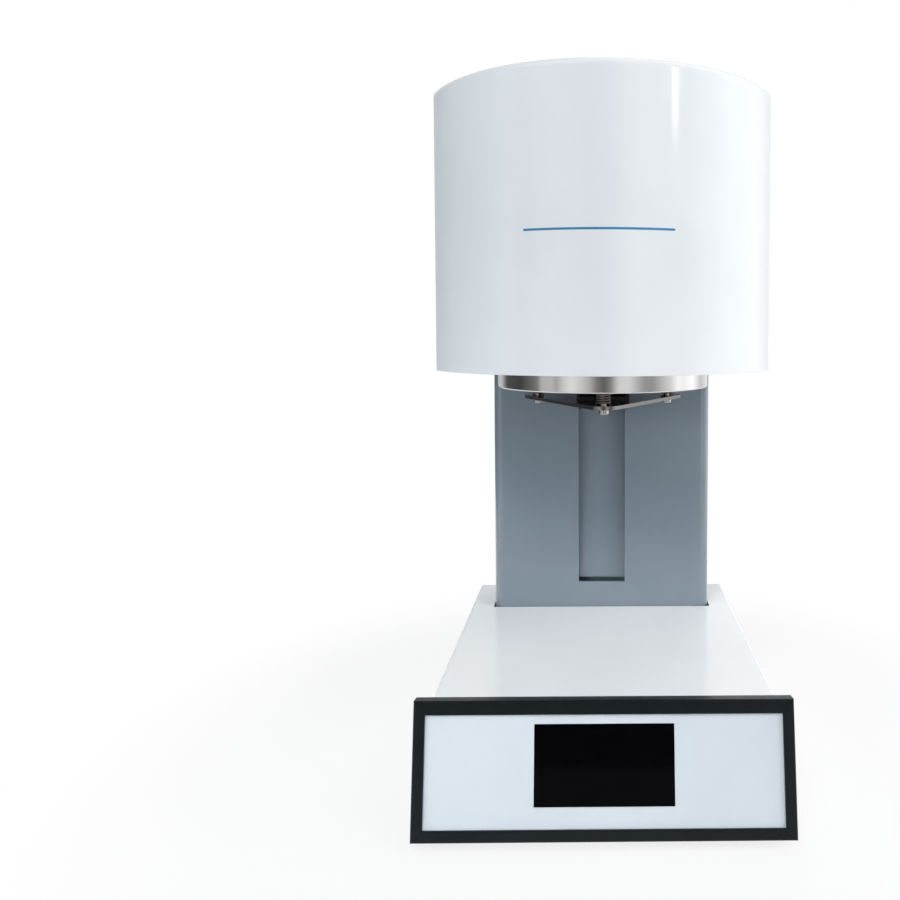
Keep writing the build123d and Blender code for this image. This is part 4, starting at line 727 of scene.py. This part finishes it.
def buildLeadScrew():
    # crest and flank are shares of the pitch, tip is the eased end of each journal
    thread = {
        "pitch": 5 * mm, "starts": 2, "depth": 0.9 * mm, "crest": 0.4, "flank": 0.1,
        "step": 0.5 * mm, "sides": 20, "tip": 0.5 * mm, "tipRadius": 0.9, "clear": 0.998,
    }
    rim, core = 0.95, 0.3  # shares of the radius that tell the thread's points and the journal's apart
    points = islandsOf("lead_screw")[0]
    low, high = spanOf(points)
    centre = (low + high) / 2
    outer = (high.x - low.x) / 2
    reach = [math.hypot(p.x - centre.x, p.y - centre.y) for p in points]
    threaded = [p.z for p, r in zip(points, reach) if r > rim * outer]
    start, end = min(threaded), max(threaded)
    journal = min(r for r in reach if r > core * outer)

    def depthAt(phase):
        # 0 on the crest and 1 in the root, with a flank on each side
        if phase < thread["crest"]:
            return 0
        down = (phase - thread["crest"]) / thread["flank"]
        up = (1 - phase) / thread["flank"]
        return min(down, up, 1)

    ease, tipRadius = thread["tip"], thread["tipRadius"] * journal
    rows = [(low.z, tipRadius), (low.z + ease, journal), (start, journal)]
    count = int((end - start) / thread["step"])
    rows += [(start + (end - start) * i / count, None) for i in range(count + 1)]
    rows += [(end, journal), (high.z - ease, journal), (high.z, tipRadius)]
    lead = thread["pitch"] * thread["starts"]
    form = bmesh.new()
    rings = []
    for z, fixed in rows:
        ring = []
        for k in range(thread["sides"]):
            angle = 2 * math.pi * k / thread["sides"]
            phase = ((z - lead * angle / (2 * math.pi)) / thread["pitch"]) % 1
            radius = fixed or outer * thread["clear"] - thread["depth"] * depthAt(phase)
            x = centre.x + radius * math.cos(angle)
            y = centre.y + radius * math.sin(angle)
            ring.append(form.verts.new((x, y, z)))
        rings.append(ring)
    joinRings(form, rings)
    piece = meshObject("threadedScrew", form, groundSteel, "screw", smoothAngle=40)
    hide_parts("lead_screw")


buildLeadScrew()


# firing chamber: one wire wound round the muffle

def buildHeaterCoil():
    # sunk is how far each lead starts inside the winding, leadWire its share of the wire's thickness
    coil = {
        "wire": 1.3 * mm, "radius": 51 * mm, "low": 380 * mm, "rise": 74 * mm, "turns": 12.5, "steps": 30,
        "sides": 8, "bend": 3 * mm, "bendSteps": 6, "sunk": 0.3 * mm, "leadWire": 0.98, "leadSides": 10,
    }
    low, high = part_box("heater_coil")
    axis = Vector(((low.x + high.x) / 2, (low.y + high.y) / 2, 0))
    form = bmesh.new()
    radius = coil["radius"]
    count = int(coil["turns"] * coil["steps"])
    path = []
    for i in range(count + 1):
        angle = 2 * math.pi * coil["turns"] * i / count
        height = coil["low"] + coil["rise"] * i / count
        path.append(axis + Vector((radius * math.cos(angle), radius * math.sin(angle), height)))
    addTube(form, path, coil["wire"], coil["sides"])
    # the two leads run out, bend up and end at the terminals
    leadX = (high.x - low.x) / 2 - coil["wire"]
    for side, z in ((1, coil["low"]), (-1, coil["low"] + coil["rise"])):
        bend = [axis + Vector((side * (radius - coil["sunk"]), 0, z))]
        for angle in quarterTurn(coil["bendSteps"]):
            out = leadX - coil["bend"] * (1 - math.sin(angle))
            bend.append(axis + Vector((side * out, 0, z + coil["bend"] * (1 - math.cos(angle)))))
        bend.append(axis + Vector((side * leadX, 0, high.z)))
        addTube(form, bend, coil["wire"] * coil["leadWire"], coil["leadSides"])
    piece = meshObject("heatingCoil", form, heatingWire, "root", smoothAngle=60)
    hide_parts("heater_coil")


buildHeaterCoil()


# cooling fan: a domed hub with curved blades

def buildFan():
    # pitch is in degrees, sweep in radians from root to tip; root is a share of the hub's radius
    fan = {
        "hub": 11 * mm, "shaft": 1.5 * mm, "neck": 3 * mm, "edge": 0.4 * mm, "dome": 1.6 * mm,
        "domeSteps": 5, "rim": 0.62, "label": 0.6, "sunk": 0.4 * mm, "sides": 40,
        "blades": 7, "chord": 8.6 * mm, "pitch": 40, "camber": 0.9 * mm, "thick": 0.55 * mm,
        "root": 0.95, "tipGap": 0.2 * mm, "sweep": 0.16, "spans": 7, "chords": 10,
    }
    low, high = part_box("fan_rotor")
    centre = (low + high) / 2
    # local Z runs out of the furnace's back
    place = Matrix.Translation((centre.x, 0, centre.z)) @ Matrix.Rotation(-math.pi / 2, 4, "X")
    form = bmesh.new()
    radius, edge, dome = fan["hub"], fan["edge"], fan["dome"]
    hubLow = low.y + fan["neck"]
    hub = [(0, low.y), (fan["shaft"], low.y), (fan["shaft"], hubLow)]
    hub += [(radius - edge, hubLow), (radius, hubLow + edge)]
    for angle in quarterTurn(fan["domeSteps"]):
        hub.append((radius - dome * (1 - math.cos(angle)), high.y - dome * (1 - math.sin(angle))))
    floor = high.y - fan["sunk"]
    hub += [(radius * fan["rim"], high.y), (radius * fan["label"], floor), (0, floor)]
    addLathe(form, hub, place, fan["sides"])
    middle = (hubLow + high.y) / 2
    slope = math.radians(fan["pitch"])
    root = radius * fan["root"]
    tip = (high.x - low.x) / 2 - fan["tipGap"]
    spans, chords = fan["spans"], fan["chords"]

    def bladePoint(start, side, i, j):
        # i counts from root to tip and j along the chord; side is -1 under the blade and 1 over it
        out = root + (tip - root) * i / (spans - 1)
        s = j / (chords - 1) - 0.5
        angle = start + fan["sweep"] * i / spans + s * fan["chord"] * math.cos(slope) / out
        bulge = (1 - 4 * s * s) * (fan["camber"] + side * fan["thick"])
        height = middle + s * fan["chord"] * math.sin(slope) + bulge
        return place @ Vector((out * math.cos(angle), out * math.sin(angle), height))

    for blade in range(fan["blades"]):
        start = 2 * math.pi * blade / fan["blades"]
        skins = []
        for side in (-1, 1):
            points = [[bladePoint(start, side, i, j) for j in range(chords)] for i in range(spans)]
            skins.append([[form.verts.new(point) for point in row] for row in points])
        for rows in skins:
            for i in range(spans - 1):
                for j in range(chords - 1):
                    form.faces.new((rows[i][j], rows[i][j + 1], rows[i + 1][j + 1], rows[i + 1][j]))
        under, over = skins
        for i in (0, spans - 1):
            # the slivers at the blade's two edges are left open
            for j in range(1, chords - 2):
                form.faces.new((under[i][j], under[i][j + 1], over[i][j + 1], over[i][j]))
    bmesh.ops.remove_doubles(form, verts=form.verts, dist=weld)
    piece = meshObject("bladedRotor", form, blackPlastic, "fan", smoothAngle=40)
    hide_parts("fan_rotor")


buildFan()
print("drive, coil and fan dressed")


# markings: a plain blue line round the head's front and the two signs of the rocker

def buildStripe():
    # shoulder is how much the head's front arc is larger than half its width
    stripe = {
        "length": 120 * mm, "width": 1.7 * mm, "height": 471.5 * mm, "shift": -4 * mm, "shoulder": 16 * mm,
        "proud": 0.05 * mm, "sunk": 0.03 * mm, "blunt": 0.01 * mm, "steps": 72,
    }
    low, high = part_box("head_cover")
    radius = (high.x - low.x) / 2 + stripe["shoulder"]
    axis = Vector((0, low.y + radius, stripe["height"]))
    half, endRound = stripe["length"] / 2, stripe["width"] / 2
    form = bmesh.new()
    columns = []
    for i in range(stripe["steps"] + 1):
        # the samples crowd together at the rounded ends
        s = -half * math.cos(math.pi * i / stripe["steps"])
        over = max(abs(s) - (half - endRound), 0)
        rise = math.sqrt(max(endRound ** 2 - over ** 2, 0)) + stripe["blunt"]
        angle = (s + stripe["shift"]) / radius
        column = []
        for reach in (radius - stripe["sunk"], radius + stripe["proud"]):
            for z in (-rise, rise):
                column.append(axis + Vector((reach * math.sin(angle), -reach * math.cos(angle), z)))
        columns.append([form.verts.new(column[k]) for k in (0, 1, 3, 2)])
    joinRings(form, columns)
    meshObject("frontStripe", form, stripeFilm, "root", smoothAngle=30)


def buildRockerMarks():
    # reach is the way from the pivot along the rocker, ring the inner and outer radius of the off sign,
    # bar half the width and half the length of the on sign
    mark = {
        "reach": 4.7 * mm, "raised": 0.06 * mm, "sunk": 0.03 * mm, "tilt": 10,
        "ring": (1.15 * mm, 1.65 * mm), "ringSides": 36, "bar": (0.28 * mm, 1.7 * mm), "barSides": 12,
    }
    # each half of the rocker's face runs from the dip at its middle out to its end
    face = {"dip": 4.6 * mm, "end": 6 * mm, "half": 8.5 * mm}
    pivot = Vector(next(joint for joint in frame["joints"] if joint["name"] == "rocker_tip")["pos_m"])
    tip = Matrix.Rotation(-math.radians(mark["tilt"]), 4, "X")
    climb = face["end"] - face["dip"]
    base, top = -mark["sunk"], mark["raised"]

    def markPlace(side):
        # local Y runs along the rocker and local Z out of its face
        along = Vector((0, climb * side, face["half"])).normalized()
        across = Vector((1, 0, 0))
        out = along.cross(across)
        if out.y < 0:
            across, out = -across, -out
        spot = Vector((0, face["dip"] + climb * mark["reach"] / face["half"], mark["reach"] * side))
        turned = Matrix((across, along, out)).transposed().to_4x4()
        return Matrix.Translation(pivot) @ tip @ Matrix.Translation(spot) @ turned

    form = bmesh.new()
    inner, outer = mark["ring"]
    ring = [(inner, base), (inner, top), (outer, top), (outer, base), (inner, base)]
    addLathe(form, ring, markPlace(-1), mark["ringSides"])
    x, y = mark["bar"]
    outline = []
    for k in range(mark["barSides"]):
        angle = 2 * math.pi * (k + 0.5) / mark["barSides"]
        end = y - x if math.sin(angle) > 0 else x - y
        outline.append((x * math.cos(angle), end + x * math.sin(angle)))
    place = markPlace(1)
    bar = []
    for height in (base, top):
        bar.append([form.verts.new(place @ Vector((px, py, height))) for px, py in outline])
    joinRings(form, bar)
    bmesh.ops.remove_doubles(form, verts=form.verts, dist=weld)
    meshObject("rockerSigns", form, markPaint, "rocker", smoothAngle=30)


buildStripe()
buildRockerMarks()
print("markings dressed")


# stage: pale floor, soft lamps and the studio around

def largerOf(tree, first, second):
    node = addNode(tree, "ShaderNodeMath", operation="MAXIMUM")
    tree.links.new(first, node.inputs[0])
    tree.links.new(second, node.inputs[1])
    return node.outputs[0]


def buildFloor():
    # the shadow shows near the part, and from near to far the floor runs out into plain white
    floor = {
        "side": 0.95, "front": -0.55, "rear": 1.1, "color": (0.86, 0.86, 0.86), "darker": 0.99,
        "patch": 0.4, "rough": 0.9, "glow": 0.8, "near": 0.30, "far": 0.52,
    }
    form = bmesh.new()
    left, right, front, rear = -floor["side"], floor["side"], floor["front"], floor["rear"]
    corners = ((left, front), (right, front), (right, rear), (left, rear))
    form.faces.new([form.verts.new((x, y, 0)) for x, y in corners])
    mesh = bpy.data.meshes.new("floor")
    form.to_mesh(mesh)
    form.free()
    ground = bpy.data.objects.new("floor", mesh)
    bpy.context.scene.collection.objects.link(ground)
    finish, tree, shader = startFinish("floor")
    tone = spread(tree, addNoise(tree, surfacePoints(tree), floor["patch"], detail=2), 0, 1)
    tint = blendColors(tree, tone, lit(floor["color"], floor["darker"]), floor["color"])
    tree.links.new(tint, shader.inputs["Base Color"])
    shader.inputs["Roughness"].default_value = floor["rough"]
    shader.inputs["Specular IOR Level"].default_value = 0.0
    glow = addNode(tree, "ShaderNodeEmission", {"Color": (1, 1, 1, 1), "Strength": 1.0})
    path = addNode(tree, "ShaderNodeLightPath")
    seen = largerOf(tree, path.outputs["Is Camera Ray"], path.outputs["Is Glossy Ray"])
    seen = largerOf(tree, seen, path.outputs["Is Transmission Ray"])
    away = addNode(tree, "ShaderNodeVectorMath", operation="LENGTH")
    tree.links.new(surfacePoints(tree), away.inputs[0])
    limits = {"From Min": floor["near"], "From Max": floor["far"], "To Min": floor["glow"], "To Max": 1.0}
    glowing = addNode(tree, "ShaderNodeMapRange", limits, interpolation_type="SMOOTHSTEP")
    tree.links.new(away.outputs["Value"], glowing.inputs["Value"])
    share = addNode(tree, "ShaderNodeMath", operation="MULTIPLY")
    tree.links.new(seen, share.inputs[0])
    tree.links.new(glowing.outputs["Result"], share.inputs[1])
    mix = addNode(tree, "ShaderNodeMixShader")
    tree.links.new(share.outputs[0], mix.inputs["Fac"])
    tree.links.new(shader.outputs[0], mix.inputs[1])
    tree.links.new(glow.outputs[0], mix.inputs[2])
    tree.links.new(mix.outputs[0], tree.nodes["Material Output"].inputs["Surface"])
    mesh.materials.append(finish)


def buildStudio():
    # bands is the room that glossy surfaces mirror, and fill the even light that it gives
    studio = {"fill": (0.17, 0.185, 0.20), "strength": 1.0}
    bands = [
        # share of a turn and brightness there: 0 is behind the part, 0.25 its left, 0.5 the camera's side
        (0.00, 1.0), (0.045, 0.45), (0.08, 0.68), (0.105, 0.60), (0.135, 0.22), (0.15, 0.10),
        (0.225, 0.07), (0.27, 0.17), (0.295, 0.25), (0.31, 0.61), (0.345, 0.64), (0.36, 0.48),
        (0.378, 0.75), (0.405, 1.0), (0.435, 0.80), (0.458, 0.60), (0.48, 0.27), (0.502, 0.14),
        (0.522, 0.30), (0.545, 0.88), (0.575, 0.92), (0.60, 0.62), (0.622, 0.42), (0.65, 0.40),
        (0.68, 0.66), (0.71, 0.88), (0.74, 1.38), (0.765, 1.25), (0.81, 1.45), (0.86, 0.80),
        (0.92, 0.95), (1.0, 1.0),
    ]
    world = bpy.data.worlds.new("studio")
    bpy.context.scene.world = world
    world.use_nodes = True
    tree = world.node_tree
    background = tree.nodes["Background"]
    coords = addNode(tree, "ShaderNodeTexCoord")
    turn = addNode(tree, "ShaderNodeMapping", {"Rotation": (0, 0, math.radians(90))})
    compass = addNode(tree, "ShaderNodeTexGradient", gradient_type="RADIAL")
    tree.links.new(coords.outputs["Generated"], turn.inputs["Vector"])
    tree.links.new(turn.outputs["Vector"], compass.inputs["Vector"])
    ramp = addNode(tree, "ShaderNodeValToRGB")
    tree.links.new(compass.outputs["Fac"], ramp.inputs["Fac"])
    stops = ramp.color_ramp.elements
    stops[0].position, stops[1].position = bands[0][0], bands[-1][0]
    for position, _ in bands[1:-1]:
        stops.new(position)
    for stop, (_, level) in zip(stops, bands):
        stop.color = (level, level, level, 1)
    path = addNode(tree, "ShaderNodeLightPath")
    around = blendColors(tree, path.outputs["Is Glossy Ray"], studio["fill"], ramp.outputs["Color"])
    clear = largerOf(tree, path.outputs["Is Camera Ray"], path.outputs["Is Transmission Ray"])
    tree.links.new(blendColors(tree, clear, around, (1, 1, 1)), background.inputs["Color"])
    background.inputs["Strength"].default_value = studio["strength"]


def addLamp(name, place, aim, size, power, color, glossy, beam=180):
    data = bpy.data.lights.new(name, "AREA")
    data.spread = math.radians(beam)
    data.shape = "RECTANGLE"
    data.size, data.size_y = size
    data.energy = power
    data.color = color
    lamp = bpy.data.objects.new(name, data)
    bpy.context.scene.collection.objects.link(lamp)
    lamp.location = place
    lamp.rotation_euler = (Vector(aim) - Vector(place)).to_track_quat("-Z", "Y").to_euler()
    lamp.visible_camera = False
    lamp.visible_glossy = glossy


lamps = [
    # name, place, aim, size, power in watts, colour, seen in gloss, beam in degrees
    ("rightSoftbox", (1.7, -0.55, 0.6), (0, 0, 0.35), (0.8, 1.8), 20, (1, 1, 1), False),
    ("rightHigh", (1.2, -1.0, 1.9), (0, 0, 0.35), (0.9, 0.9), 10.5, (1, 0.96, 0.91), False),
    ("frontHigh", (-0.5, -1.5, 1.65), (0, 0, 0.15), (0.5, 0.5), 14.5, (1, 1, 1), False),
    ("leftFill", (-1.7, -0.9, 0.9), (0, 0, 0.35), (0.9, 1.4), 12.5, (0.91, 0.98, 1), False),
    ("baseFill", (-0.9, -1.3, 0.5), (-0.03, -0.05, 0.1), (0.3, 0.2), 0.12, (1, 1, 1), False, 24),
    ("rearFill", (0.3, 1.9, 1.2), (0, 0, 0.35), (1.6, 1.2), 18, (1, 1, 1), False),
    # the narrow light that the head mirrors, fading downwards
    ("rightStripTop", (1.44, -1.51, 1.33), (0, 0, 0.5), (0.12, 0.34), 1.4, (1, 1, 1), True),
    ("rightStripMiddle", (1.44, -1.51, 1.11), (0, 0, 0.5), (0.12, 0.10), 0.22, (1, 1, 1), True),
    ("rightStripFoot", (1.44, -1.51, 1.02), (0, 0, 0.5), (0.12, 0.08), 0.07, (1, 1, 1), True),
]
for lamp in lamps:
    addLamp(*lamp)
buildFloor()
buildStudio()
print("studio lit")


def placeCamera():
    view = {
        "place": (-0.0075, -0.74385, 0.39605), "down": 3.044, "right": 0.762,  # degrees
        "lens": 32.0, "sensor": 36.0, "shift": (-0.1722, -0.0883), "nearest": 0.01,
    }
    data = bpy.data.cameras.new("camera")
    data.lens = view["lens"]
    data.sensor_width = view["sensor"]
    data.shift_x, data.shift_y = view["shift"]
    data.clip_start = view["nearest"]
    camera = bpy.data.objects.new("camera", data)
    bpy.context.scene.collection.objects.link(camera)
    camera.location = view["place"]
    camera.rotation_euler = (math.radians(90 - view["down"]), 0, math.radians(-view["right"]))
    bpy.context.scene.camera = camera


placeCamera()
bpy.context.scene.view_settings.view_transform = "Standard"
print("pieces done")
